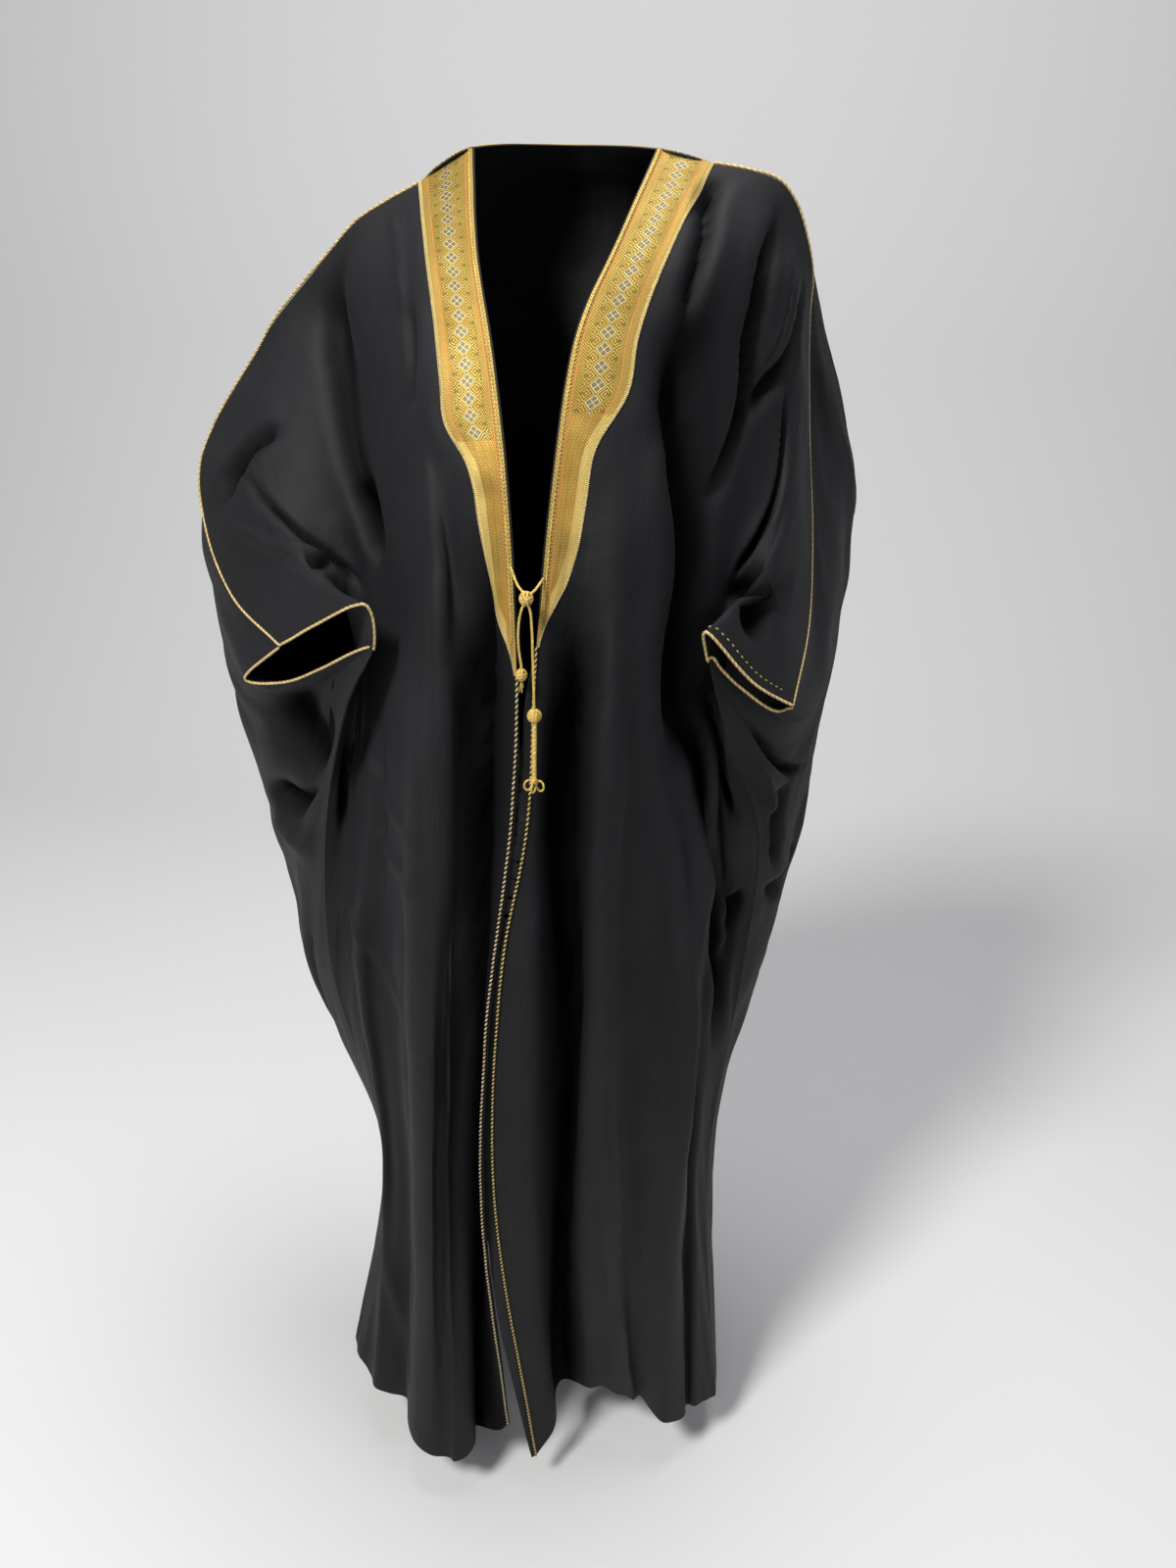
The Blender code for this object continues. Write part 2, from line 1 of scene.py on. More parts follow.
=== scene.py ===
# Looks of the bisht cloak: cloth shells, woven gold bands, twisted cords and the tie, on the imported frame.
import math
import bpy
import mathutils
import numpy as np
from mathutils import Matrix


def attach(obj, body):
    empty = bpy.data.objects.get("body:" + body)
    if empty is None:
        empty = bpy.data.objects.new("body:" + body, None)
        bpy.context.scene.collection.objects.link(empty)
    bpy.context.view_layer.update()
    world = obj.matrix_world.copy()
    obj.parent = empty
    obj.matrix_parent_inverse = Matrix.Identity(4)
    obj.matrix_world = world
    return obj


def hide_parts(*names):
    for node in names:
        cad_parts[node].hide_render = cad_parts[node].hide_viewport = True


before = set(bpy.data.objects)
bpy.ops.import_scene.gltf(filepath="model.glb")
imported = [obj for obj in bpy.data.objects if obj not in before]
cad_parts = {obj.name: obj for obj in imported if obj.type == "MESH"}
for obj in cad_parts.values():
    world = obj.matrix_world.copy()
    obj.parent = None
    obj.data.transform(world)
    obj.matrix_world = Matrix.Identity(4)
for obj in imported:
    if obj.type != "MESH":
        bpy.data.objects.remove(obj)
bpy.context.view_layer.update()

# ---------------------------------------------------------------- sizes, in metres
WALL = .0012           # cloth
H = WALL / 2
BAND = .0009           # gold woven band
B0 = H + .0002         # the band's under side and its top, above the middle of the cloth
B1 = H + .0002 + BAND
PIPE_R = .0016         # seam, cuff and front-edge cords
PIPE_PITCH = .0062     # one turn of their strands
EDGE_PITCH = .0052
TIE_R = .0013          # tie cords
TIE_PITCH = .0056
CHAIN_R = .0010        # raised chain beside the neck edge of the bands
CHAIN_PITCH = .0068
CHAIN_IN = .0030
OVERCAST = .0017       # one stitch round the outer edge of the bands
DROP = 1.43            # top seam to hem, down the cloth
TOP_GAP = .0012        # how far a panel stands back from its shared seams
SIDE_GAP = .00015
BAND_GAP = .0006
REACH = .0035          # the front edge runs on past its cord, and the left one sinks behind the right one
SINK = .0030
FULL_SHADE = .018      # fold depth at which the painted shade in the cloth's colour is at its darkest

# ---------------------------------------------------------------- the grid
ROWS = 30              # coarse rows from top seam to hem
TIP = 12               # row of the band's lower tip
UNDER = 9              # row of the under corner of the cuff
BCOLS = 4              # coarse columns under the band
SCOLS = 12             # coarse columns from band to cuff or side seam
FINE = 6               # fine steps to one coarse step
ACROSS = 36            # steps across a band
NECK = .08             # half the neck's share of the back's width
S_KN = [0.0, 0.10, 0.25, 0.42, 0.60, 0.80, 0.90, 1.0]
R_KN = [0, 3, 6, 9, 12, 16, 20, 25, 30]

# Control lines in millimetres. Each runs from the top seam (row 0) down to the hem (row 30), at R_KN.
# The back lines leave out what they share with the front: the first point, and the last line's side seam.
FRONT_R = [
    [(-83, 0, 0), (-62, -90, -90), (-35, -155, -180), (-14, -200, -300), (-6, -220, -430),
     (-12, -222, -585), (-35, -222, -760), (-47.5, -221, -1050), (-27, -206, -1398)],
    [(-135, 0, -30), (-112, -78, -92), (-86, -145, -190), (-72, -185, -300), (-62, -205, -430),
     (-60, -205, -600), (-72, -205, -780), (-85, -205, -1060), (-65, -240, -1415)],
    [(-200, 12, -62), (-160, -55, -130), (-120, -125, -215), (-103, -165, -310), (-95, -190, -440),
     (-93, -213, -600), (-97, -222, -780), (-102, -235, -1060), (-108, -245, -1415)],
    [(-275, 30, -128), (-235, 0, -170), (-195, -50, -250), (-165, -88, -365), (-150, -115, -470),
     (-150, -140, -620), (-155, -150, -800), (-150, -165, -1080), (-155, -205, -1405)],
    [(-345, 50, -208), (-300, -10, -240), (-240, -65, -310), (-195, -55, -390), (-185, -75, -480),
     (-185, -105, -640), (-193, -118, -820), (-180, -130, -1090), (-192, -175, -1400)],
    [(-397, 35, -318), (-335, -45, -325), (-265, -95, -350), (-205, -80, -408), (-198, -78, -480),
     (-208, -88, -650), (-220, -95, -830), (-190, -107, -1100), (-220, -152, -1395)],
    [(-358, -27, -403), (-292, -88, -385), (-220, -130, -378), (-190, -112, -420), (-198, -98, -488),
     (-222, -88, -655), (-235, -87, -835), (-197, -95, -1105), (-234, -138, -1390)],
    [(-263, -120, -445), (-212, -146, -412), (-161, -163, -388), (-158, -152, -434), (-195, -125, -500),
     (-238, -95, -655), (-250, -80, -840), (-203, -80, -1110), (-243, -120, -1384)],
]
FRONT_L = [
    [(83, 0, 0), (58, -88, -78), (30, -150, -155), (16, -192, -285), (9, -213, -405), (2, -222, -575),
     (-24.5, -221, -745), (-35.5, -215, -1045), (9, -215, -1436)],
    [(135, 0, -12), (112, -75, -68), (83, -140, -158), (72, -180, -285), (64, -200, -410),
     (60, -208, -580), (45, -212, -750), (32, -203, -1042), (52, -142, -1402)],
    [(195, 20, -25), (165, -50, -90), (135, -110, -180), (118, -155, -290), (108, -180, -410),
     (100, -200, -580), (90, -210, -750), (88, -208, -1040), (106, -152, -1392)],
    [(227, 45, -74), (210, -10, -130), (178, -45, -215), (152, -85, -325), (140, -120, -430),
     (145, -145, -600), (140, -165, -770), (138, -176, -1050), (150, -160, -1402)],
    [(238, 78, -162), (236, 15, -200), (217, -20, -280), (174, -56, -370), (160, -85, -450),
     (175, -108, -620), (170, -130, -790), (168, -142, -1060), (184, -160, -1412)],
    [(250, 75, -280), (242, 8, -302), (222, -40, -348), (188, -88, -396), (172, -92, -455),
     (190, -90, -630), (193, -93, -800), (184, -105, -1080), (205, -140, -1405)],
    [(260, 10, -400), (240, -56, -378), (211, -105, -374), (176, -121, -406), (172, -112, -478),
     (202, -87, -635), (205, -80, -810), (190, -90, -1090), (217, -128, -1410)],
    [(242, -120, -477), (201, -150, -445), (158, -168, -396), (160, -152, -428), (183, -130, -512),
     (222, -88, -640), (216, -72, -820), (196, -78, -1100), (226, -118, -1415)],
]
BACK_R = [
    [(-80, 95, -55), (-78, 122, -180), (-75, 145, -325), (-72, 160, -480), (-68, 177, -670),
     (-62, 188, -860), (-55, 202, -1140), (-45, 225, -1420)],
    [(-130, 90, -85), (-125, 122, -200), (-120, 145, -335), (-115, 160, -485), (-110, 177, -675),
     (-100, 187, -865), (-85, 197, -1140), (-75, 215, -1420)],
    [(-205, 85, -135), (-210, 130, -245), (-210, 160, -370), (-205, 175, -510), (-195, 185, -690),
     (-180, 185, -870), (-155, 180, -1140), (-140, 195, -1415)],
    [(-305, 100, -220), (-320, 150, -340), (-320, 170, -460), (-310, 170, -580), (-290, 160, -730),
     (-265, 140, -890), (-215, 120, -1140), (-200, 130, -1410)],
    [(-385, 100, -310), (-398, 125, -420), (-395, 125, -530), (-380, 115, -630), (-346, 100, -750),
     (-312, 65, -890), (-228, 35, -1140), (-225, 50, -1400)],
    [(-408, 50, -420), (-402, 48, -520), (-382, 35, -600), (-352, 15, -685), (-325, 0, -785),
     (-313, -5, -900), (-226, -18, -1130), (-236, -30, -1395)],
    [(-372, -8, -472), (-348, -20, -535), (-300, -48, -555), (-270, -62, -605), (-276, -58, -705),
     (-280, -48, -865), (-214, -52, -1120), (-241, -80, -1388)],
    [(-322, -75, -497), (-262, -98, -489)],
]
BACK_L = [
    [(80, 95, -55), (78, 122, -180), (75, 145, -325), (72, 160, -480), (68, 177, -670), (62, 188, -860),
     (55, 202, -1140), (45, 225, -1420)],
    [(130, 90, -75), (125, 122, -195), (120, 145, -335), (115, 160, -485), (110, 177, -675),
     (100, 187, -865), (85, 197, -1140), (75, 215, -1420)],
    [(200, 100, -100), (215, 145, -225), (210, 170, -355), (200, 182, -500), (190, 187, -680),
     (175, 182, -860), (150, 175, -1130), (140, 190, -1415)],
    [(252, 135, -150), (285, 200, -280), (280, 215, -400), (270, 205, -520), (250, 180, -680),
     (225, 150, -860), (190, 110, -1120), (190, 120, -1415)],
    [(288, 158, -250), (315, 185, -340), (307, 180, -440), (293, 150, -540), (275, 110, -680),
     (245, 70, -850), (200, 30, -1110), (212, 25, -1415)],
    [(290, 112, -352), (297, 110, -440), (290, 80, -530), (280, 50, -600), (270, 20, -700),
     (246, 0, -850), (205, -20, -1110), (222, -45, -1418)],
    [(279, 4, -475), (273, -12, -532), (256, -36, -560), (247, -50, -600), (246, -48, -680),
     (232, -44, -835), (203, -48, -1110), (228, -85, -1420)],
    [(224, -116, -484), (188, -132, -456)],
]
BACK_C = [(0, 62, 8), (0, 112, -50), (0, 128, -175), (0, 146, -322), (0, 162, -480), (0, 180, -670),
          (0, 192, -860), (0, 207, -1140), (0, 230, -1420)]


def both(path, half, height):
    """A fold of the back and its mirror image."""
    return [(path, half, height), ([(r, -s) for r, s in path], half, height)]


# folds: (points (row, s), half width in s, height outward in millimetres)
FOLDS_FR = [
    ([(8, .13), (14, .13), (22, .13), (30, .15)], .045, -16),
    ([(12, .3), (20, .31), (30, .3)], .05, 10),
    ([(14, .52), (22, .5), (30, .48)], .05, -14),
    ([(16, .66), (23, .66), (30, .64)], .05, 8),
    ([(1, .7), (3, .82), (6, .9)], .035, -9),
    ([(1, .56), (4, .62), (7, .66)], .035, -10),
    ([(0, .36), (4, .4), (8, .4)], .04, -12),
]
FOLDS_FL = [
    ([(1, .22), (5, .2), (9, .22)], .04, -10),
    ([(10, .15), (18, .14), (30, .12)], .04, -8),
    ([(12, .34), (20, .34), (30, .33)], .05, 9),
    ([(13, .53), (22, .52), (30, .5)], .045, -14),
    ([(18, .7), (24, .68), (30, .68)], .045, 8),
    ([(1, .5), (4, .52), (8, .5)], .04, -12),
    ([(2, .78), (5, .84), (7, .92)], .035, -7),
]
FOLDS_BK = [
    ([(6, 0), (16, 0), (30, 0)], .06, -10),
    ([(22, .8), (23, .8)], .22, -20),
    *both([(8, .17), (18, .16), (30, .16)], .045, 10),
    *both([(7, .34), (18, .36), (30, .34)], .05, -14),
    *both([(6, .66), (14, .62), (24, .58), (30, .56)], .05, -12),
    ([(8, .88), (12, .84), (18, .78), (30, .76)], .04, -10),
    ([(4, -.92), (10, -.84), (18, -.78), (30, -.76)], .04, -10),
]


def spline(kn, pts, x):
    """Cubic curve through pts at knots kn, evaluated at x."""
    kn = np.asarray(kn, float)
    pts = np.asarray(pts, float)
    x = np.clip(np.asarray(x, float), kn[0], kn[-1])
    tan = np.zeros_like(pts)
    for i in range(len(kn)):
        a, b = max(i - 1, 0), min(i + 1, len(kn) - 1)
        if 0 < i < len(kn) - 1:
            h0, h1 = kn[i] - kn[i - 1], kn[i + 1] - kn[i]
            s0, s1 = (pts[i] - pts[i - 1]) / h0, (pts[i + 1] - pts[i]) / h1
            tan[i] = (s0 * h1 + s1 * h0) / (h0 + h1)
        else:
            tan[i] = (pts[b] - pts[a]) / (kn[b] - kn[a])
    k = np.clip(np.searchsorted(kn, x, side='right') - 1, 0, len(kn) - 2)
    h = kn[k + 1] - kn[k]
    t = (x - kn[k]) / h
    sh = (-1,) + (1,) * (pts.ndim - 1)
    t, h = t.reshape(sh), h.reshape(sh)
    return ((2 * t**3 - 3 * t**2 + 1) * pts[k] + (t**3 - 2 * t**2 + t) * h * tan[k]
            + (3 * t**2 - 2 * t**3) * pts[k + 1] + (t**3 - t**2) * h * tan[k + 1])


def ease(x):
    """Soft step from 0 to 1."""
    return x * x * (3 - 2 * x)


def normals(g):
    """Unit normals of a grid of points."""
    n = np.cross(np.gradient(g, axis=1), np.gradient(g, axis=0))
    return n / np.maximum(np.linalg.norm(n, axis=2, keepdims=True), 1e-12)


def surface(lines, skn, smap, folds):
    """smap[row][col] = s; gives the middle surface of a panel as grid[row][col]."""
    rows = np.arange(ROWS + 1)
    along = np.array([spline(R_KN, np.array(ln) / 1000, rows) for ln in lines])
    g = np.array([spline(skn, along[:, r], smap[r]) for r in rows])
    n = normals(g)
    d = np.zeros(g.shape[:2])
    for path, half, height in folds:
        pr = [p[0] for p in path]
        ps = [p[1] for p in path]
        for r in rows:
            if pr[0] - 2 <= r <= pr[-1] + 2:
                fade = min(1.0, max(0.0, (r - pr[0] + 2) / 4.0))
                if pr[-1] < ROWS:
                    fade *= min(1.0, max(0.0, (pr[-1] + 2 - r) / 4.0))
                c = np.interp(r, pr, ps)
                d[r] += height / 1000 * fade * np.exp(-((smap[r] - c) / half) ** 2)
    d *= np.clip((1.0 - np.abs(smap)) / 0.06, 0, 1)
    return g + n * d[:, :, None]


def relax(g, r0, r1, c0, c1, times):
    """Ease a patch of the grid; its border stays."""
    for _ in range(times):
        m = g[r0 - 1:r1 - 1, c0:c1] + g[r0 + 1:r1 + 1, c0:c1]
        m = (m + g[r0:r1, c0 - 1:c1 - 1] + g[r0:r1, c0 + 1:c1 + 1]) / 4
        g[r0:r1, c0:c1] = g[r0:r1, c0:c1] * .5 + m * .5


def band_s(r):
    """Where the outer edge of the band lies, in s, at a row."""
    at_rows = [0, 7, 8, 10, TIP, TIP + 3, ROWS]
    return float(np.interp(r, at_rows, [.100, .098, .058, .048, .014, .070, .100]))


def front_map():
    """s of every coarse grid point of a front: BCOLS columns under the band, SCOLS beyond it."""
    m = []
    for r in range(ROWS + 1):
        b = band_s(r)
        beyond = b + (1 - b) * np.arange(1, SCOLS + 1) / SCOLS
        m.append(np.concatenate([np.linspace(0, b, BCOLS + 1), beyond]))
    return np.array(m)


def unit(v):
    """v at length 1."""
    return v / max(np.linalg.norm(v), 1e-12)


# creases set on the fine cloth: (points (row, s), half width and height outward in millimetres)
CREASES_FR = [
    ([(.3, .31), (1.5, .36), (3, .41), (4.5, .44), (6, .46), (7.2, .455), (8.5, .44),
      (9.6, .47)], 15, -16.5),
    ([(6.6, .47), (7.8, .44), (9, .44)], 16, -17.5),
    ([(3.3, .61), (2.5, .65), (2, .7), (1.3, .76), (.5, .81)], 9, -18),
    ([(2, .735), (2.8, .75), (4.7, .76), (6.5, .735), (8.3, .645), (9.5, .55)], 7, -13.5),
    ([(8, .69), (6.8, .8), (5.2, .88)], 8, -9),
    ([(.4, .86), (1.5, .85), (4, .85), (7.2, .75), (8.4, .64)], 6, 6.4),
    ([(3.8, .17), (5, .19), (6.2, .26)], 10, -7),
    ([(.5, .17), (2, .17), (4, .19)], 5, 4.8),
    ([(8.6, .035), (9.7, .045), (10.7, .058), (12.3, .078), (16, .076), (20.8, .052),
      (25.3, .045), (28, .05), (30, .06)], 14, -40),
    ([(7, .12), (11, .18), (15, .19), (18.5, .165), (22, .14), (26, .14), (30, .16)], 20, 14.4),
    ([(10.5, .9), (12.8, .9), (14.5, .91), (16, .9)], 13, -29),
    ([(11.5, .76), (13.3, .82), (14.7, .86)], 6, -14),
    ([(14.4, .64), (15.6, .46), (16.4, .27)], 9, 4.2),
    ([(16.2, .62), (17.1, .44), (17.6, .27)], 9, 4.2),
    ([(18, .9), (19.1, .63), (20.4, .47), (21.2, .32)], 9, 4),
    ([(17, .36), (23, .37), (28.5, .36)], 16, -7),
    ([(18, .6), (23, .6), (27, .59)], 16, -7),
    ([(26.8, .62), (28.4, .48), (29.7, .37)], 14, 5),
]
CREASES_FL = [
    ([(.4, .125), (1.8, .125), (3, .15), (4.3, .165), (5.5, .19)], 8, -17.5),
    ([(.9, .285), (1.8, .3), (2.8, .315), (3.7, .34), (4.7, .36), (5.7, .4), (6.5, .41),
      (7.5, .4), (8.7, .37)], 9, -24.5),
    ([(1.2, .46), (2.5, .5), (3.8, .49), (4.7, .46), (5.5, .44), (6.2, .425)], 8, -19.2),
    ([(1, .35), (2.7, .4), (3.7, .42), (4.7, .42)], 6, 6.4),
    ([(3.8, .525), (4.5, .59), (5.3, .65), (6.2, .685), (7.3, .68), (8.5, .635), (9.2, .62)], 9, -22.7),
    ([(9.9, .6), (7.5, .8), (4.3, .92), (2, .925)], 15, -29),
    ([(4.8, .17), (6.7, .21), (8, .27), (9.2, .34), (10.7, .385), (13, .4), (15, .46)], 24, -35),
    ([(7.5, .085), (11, .115), (15, .135), (18, .165), (20.3, .21), (24.7, .255),
      (29.3, .285)], 18, 16),
    ([(10, .045), (11.5, .063), (12.7, .067), (14, .052), (15.7, .052), (17.3, .065),
      (19.8, .092), (22.2, .11), (24.3, .114), (26.7, .1), (29, .085), (30, .085)], 12, -38.5),
    ([(17, .03), (20, .045), (24.3, .058), (27, .05)], 9, 9.6),
    ([(13, .42), (14.5, .49), (16, .53), (18, .68), (19.8, .78), (21.3, .86)], 14, -31.5),
    ([(12.6, .56), (13.5, .6), (14.5, .73), (15.4, .88)], 16, -27),
    ([(18.7, .79), (18.1, .87), (17.6, .94)], 12, -17),
    ([(17, .78), (18.6, .85), (20.4, .81), (22, .8)], 16, -12.5),
    ([(14.2, .28), (16.5, .4), (19, .47), (21.3, .53), (25, .55)], 12, 8),
    ([(15.2, .012), (15.3, .05)], 3, -3),
    ([(16.3, .01), (16.4, .045)], 3, -3),
    ([(17.3, .01), (17.2, .04)], 3, -2.5),
    ([(27.2, .27), (28.5, .28), (30, .3)], 8, 9.6),
    ([(22, .7), (26, .72), (30, .72)], 12, -8.5),
]
CREASES_BK = [
    ([(11.4, -.83), (12.8, -.87), (14, -.93)], 13, -26),
    ([(7.4, -.925), (10, -.915), (12, -.94), (13.6, -.96)], 18, -28),
    ([(12.6, -.8), (14.4, -.86), (16.4, -.92)], 12, 11),
    ([(18.5, -.9), (20, -.88), (22, -.86)], 10, -9),
    ([(9.6, .955), (10.4, .93), (11.4, .875), (12, .84)], 12, -22),
    ([(17.4, .95), (16.9, .87), (16.3, .76)], 13, -20),
    ([(11.5, .95), (12.5, .94), (14, .93)], 9, 9),
    ([(11.8, .88), (14, .92), (16.5, .93)], 10, -15),
    *both([(1, -.3), (3.5, -.33), (6.5, -.42), (9, -.5)], 10, -16.5),
    *both([(2, -.52), (5, -.6), (8, -.72)], 9, -13.5),
    *both([(4, -.16), (8, -.2), (13, -.22)], 14, -12),
    ([(7, -.04), (18, -.05), (30, -.06)], 16, -21),
    ([(9, .1), (18, .11), (30, .12)], 18, 15),
    ([(8, .2), (18, .19), (30, .18)], 13, -22.5),
    ([(10, -.17), (20, -.16), (30, -.16)], 15, -21),
    ([(12, -.27), (20, -.27), (30, -.26)], 16, 13.5),
    ([(12, .29), (20, .29), (30, .28)], 16, 13.5),
    ([(13, -.4), (22, -.38), (30, -.38)], 13, -21),
    ([(13, .42), (22, .4), (30, .4)], 13, -21),
    *both([(16, -.6), (23, -.56), (30, -.55)], 13, 10.5),
]

# painted shade beside the biggest folds, darkening the cloth's colour without moving it: (points, half width
# in millimetres, amount)
SHADES_FR = [
    ([(8.4, .015), (10, .03), (12, .042), (16, .042), (20.8, .034), (25.3, .028), (30, .034)], 19, .95),
    ([(11, .93), (13, .92), (15, .91), (16.5, .9)], 18, .9),
    ([(1.5, .36), (3, .41), (6, .46), (8.8, .44)], 14, .8),
    ([(3.3, .61), (2, .7), (.9, .79)], 11, .85),
]
SHADES_FL = [
    ([(9.5, .045), (14, .056), (20, .095), (25, .112), (30, .085)], 19, .85),
    ([(3.4, .17), (6.7, .22), (8.5, .29), (10.5, .36), (13, .39)], 28, .92),
    ([(11.2, .45), (13.2, .5), (14.8, .62), (16.5, .72), (18.8, .84)], 22, .9),
    ([(9.8, .6), (7.5, .8), (4.3, .92)], 14, .9),
]
SHADES_BK = [
    ([(7.4, -.93), (10, -.92), (12.6, -.945)], 24, .8),
    ([(11.2, -.82), (12.8, -.87), (14.2, -.93)], 16, .7),
    ([(12.4, .9), (14.5, .93), (16.5, .93)], 16, .8),
]
# ---------------------------------------------------------------- middle surfaces, as the solids have them
def whole_back(back, front):
    """Back lines with the points they share with the front, on the top seam and the side seam."""
    lines = [[f[0]] + b for f, b in zip(front, back)]
    lines[-1] += front[-1][3:]
    return lines


fmap = front_map()
FR = surface(FRONT_R, S_KN, fmap, FOLDS_FR)
FL = surface(FRONT_L, S_KN, fmap, FOLDS_FL)
bk_kn = np.array([-(s + NECK) for s in S_KN[::-1]] + [0.0] + [s + NECK for s in S_KN])
beyond = .10 + .90 * np.arange(SCOLS + 1) / SCOLS + NECK
half = np.concatenate([[NECK / 3, 2 * NECK / 3, NECK, NECK + .05], beyond])
brow = np.concatenate([-half[::-1], [0.0], half]) / (1 + NECK)
bmap = np.tile(brow, (ROWS + 1, 1))
back_lines = whole_back(BACK_R, FRONT_R)[::-1] + [BACK_C] + whole_back(BACK_L, FRONT_L)
BK = surface(back_lines, bk_kn / (1 + NECK), bmap, FOLDS_BK)
last = FR.shape[1] - 1
mid = (BK.shape[1] - 1) // 2
relax(FR, 1, 14, 9, last, 14)
relax(FL, 1, 14, 9, last, 14)
relax(BK, 3, 14, 1, 9, 2)
relax(BK, 7, 14, 2 * mid - 5, 2 * mid, 1)


def back_col(sign, c):
    """Back column that meets front column c of a side, for c from BCOLS up."""
    return mid + sign * (5 + (c - BCOLS))


def part_edges(F, sign):
    """Open the shared seams by a hair, so that the panels lie beside each other under their piping."""
    seam = {}
    pairs = [((0, c), (0, back_col(sign, c)), True) for c in range(BCOLS, last + 1)]
    pairs += [((r, last), (r, back_col(sign, last)), False) for r in range(UNDER, ROWS + 1)]
    new = []
    for fi, bi, top in pairs:
        S = F[fi].copy()
        if top and fi[1] == last:
            f, b = F[1, last - 1], BK[1, bi[1] - sign]
        elif top:
            f, b = F[1, fi[1]], BK[1, bi[1]]
        else:
            f, b = F[fi[0], last - 1], BK[bi[0], bi[1] - sign]
        if top:
            t = unit(F[0, min(fi[1] + 1, last)] - F[0, fi[1] - 1])
        else:
            t = unit(F[min(fi[0] + 1, ROWS), last] - F[fi[0] - 1, last])
        f, b = unit(f - S), unit(b - S)
        f, b = unit(f - t * np.dot(f, t)), unit(b - t * np.dot(b, t))
        new.append((fi, bi, S, f, b, unit(f - b), TOP_GAP if top else SIDE_GAP))
    for fi, bi, S, f, b, d, gap in new:
        F[fi] = S + d * gap
        BK[bi] = S - d * gap
        seam[fi] = (S, f, b)
    for c in range(BCOLS):
        F[0, c] = F[0, c] + unit(F[1, c] - F[0, c]) * BAND_GAP
    for j in (mid + sign * 3, mid + sign * 4):
        BK[0, j] = BK[0, j] + unit(BK[1, j] - BK[0, j]) * BAND_GAP
    return seam


seamR = part_edges(FR, -1)
seamL = part_edges(FL, 1)


# ---------------------------------------------------------------- fine surfaces
def finer(g, smap, k=FINE):
    """Smooth k-times finer grid through the coarse one, with its s map."""
    nr, nc = g.shape[:2]
    rows = np.arange((nr - 1) * k + 1) / k
    tall = spline(np.arange(nr), g.reshape(nr, -1), rows).reshape(len(rows), nc, 3)
    smid = np.array([np.interp(rows, np.arange(nr), smap[:, c]) for c in range(nc)]).T
    cols = np.arange((nc - 1) * k + 1) / k
    sfine = np.array([np.interp(cols, np.arange(nc), smid[i]) for i in range(len(rows))])
    out = np.array([spline(smid[i], tall[i], sfine[i]) for i in range(len(rows))])
    return out, sfine


def outward(g, like=None):
    """Normals on the side of the given ones, or away from the cloak's own middle line."""
    n = normals(g)
    if like is None:
        like = (g - np.array([0, .02, 0])) * np.array([1, 1, 0])
    return n if (n * like).sum() > 0 else -n


def lengths(g, axis):
    """Distance run along a grid's rows (axis 1) or columns (axis 0)."""
    d = np.linalg.norm(np.diff(g, axis=axis), axis=2)
    z = np.zeros((1, g.shape[1])) if axis == 0 else np.zeros((g.shape[0], 1))
    return np.concatenate([z, np.cumsum(d, axis=axis)], axis=axis)


def creases(g, n, smap, width, items, shades, front):
    """Troughs (height < 0) and ridges; gives the surface and how much painted shade each point takes, from
    its depth in a fold and from the shade paths.
    """
    down = (np.arange(g.shape[0]) / FINE * DROP / ROWS)[:, None]
    Y = np.repeat(down, g.shape[1], axis=1)
    X = smap * width
    d = np.zeros(g.shape[:2])
    shade = np.zeros(g.shape[:2])
    for number, (path, half, height) in enumerate(items + shades):
        P = np.array([(s * width, r * DROP / ROWS) for r, s in path])
        P = spline(np.linspace(0, 1, len(P)), P, np.linspace(0, 1, 4 * len(P)))
        seg = np.linalg.norm(np.diff(P, axis=0), axis=1)
        run = np.concatenate([[0], np.cumsum(seg)])
        best = np.full(g.shape[:2], 1e9)
        at = np.zeros(g.shape[:2])
        for i in range(len(P) - 1):
            ab = P[i + 1] - P[i]
            L = max(np.dot(ab, ab), 1e-12)
            t = np.clip(((X - P[i, 0]) * ab[0] + (Y - P[i, 1]) * ab[1]) / L, 0, 1)
            off = np.hypot(X - P[i, 0] - t * ab[0], Y - P[i, 1] - t * ab[1])
            near = off < best
            best[near] = off[near]
            at[near] = (run[i] + t * seg[i])[near]
        u = at / run[-1]
        ends = np.clip(u / .22, 0, 1)
        if path[-1][0] < ROWS:
            ends = np.clip(np.minimum(u / .22, (1 - u) / .22), 0, 1)
        ends = ease(ends)
        k = best / (half / 1000)
        # a shade path paints shade into the cloth's colour and leaves its shape alone
        if number >= len(items):
            shade = np.maximum(shade, height * ends * np.exp(-k * k))
            continue
        d += height / 1000 * (.12 + .88 * ends) * (np.exp(-k * k) - .22 * np.exp(-(k / 2.4) ** 2))
    fade = np.clip((1 - np.abs(smap)) / .05, 0, 1)
    # painted shade: the cloth's colour darkens with a trough's depth and along the shade paths
    painted_shade = np.clip(np.maximum(-d * fade / FULL_SHADE, shade), 0, 1)
    if front:
        fade = fade * (.25 + .75 * np.clip(smap / .035, 0, 1))
    return g + n * (d * fade)[:, :, None], painted_shade


def crinkle(g, n, X, Y, seed, depth=.0009):
    """Faint uneven lie of hanging cloth, the same on every run."""
    rng = np.random.default_rng(seed)
    d = np.zeros(g.shape[:2])
    for _ in range(26):
        wave = rng.uniform(.035, .16)
        th = rng.normal(0, .38)
        ph = rng.uniform(0, 2 * math.pi, 3)
        u = (X * math.cos(th) + Y * math.sin(th)) * 2 * math.pi / wave
        v = (-X * math.sin(th) + Y * math.cos(th)) * 2 * math.pi / (wave * rng.uniform(3.5, 7))
        d += np.sin(u + ph[0] + 1.3 * np.sin(v + ph[1])) * np.sin(v * .6 + ph[2]) * wave
    d *= depth / max(d.std(), 1e-9)
    return g + n * d[:, :, None]


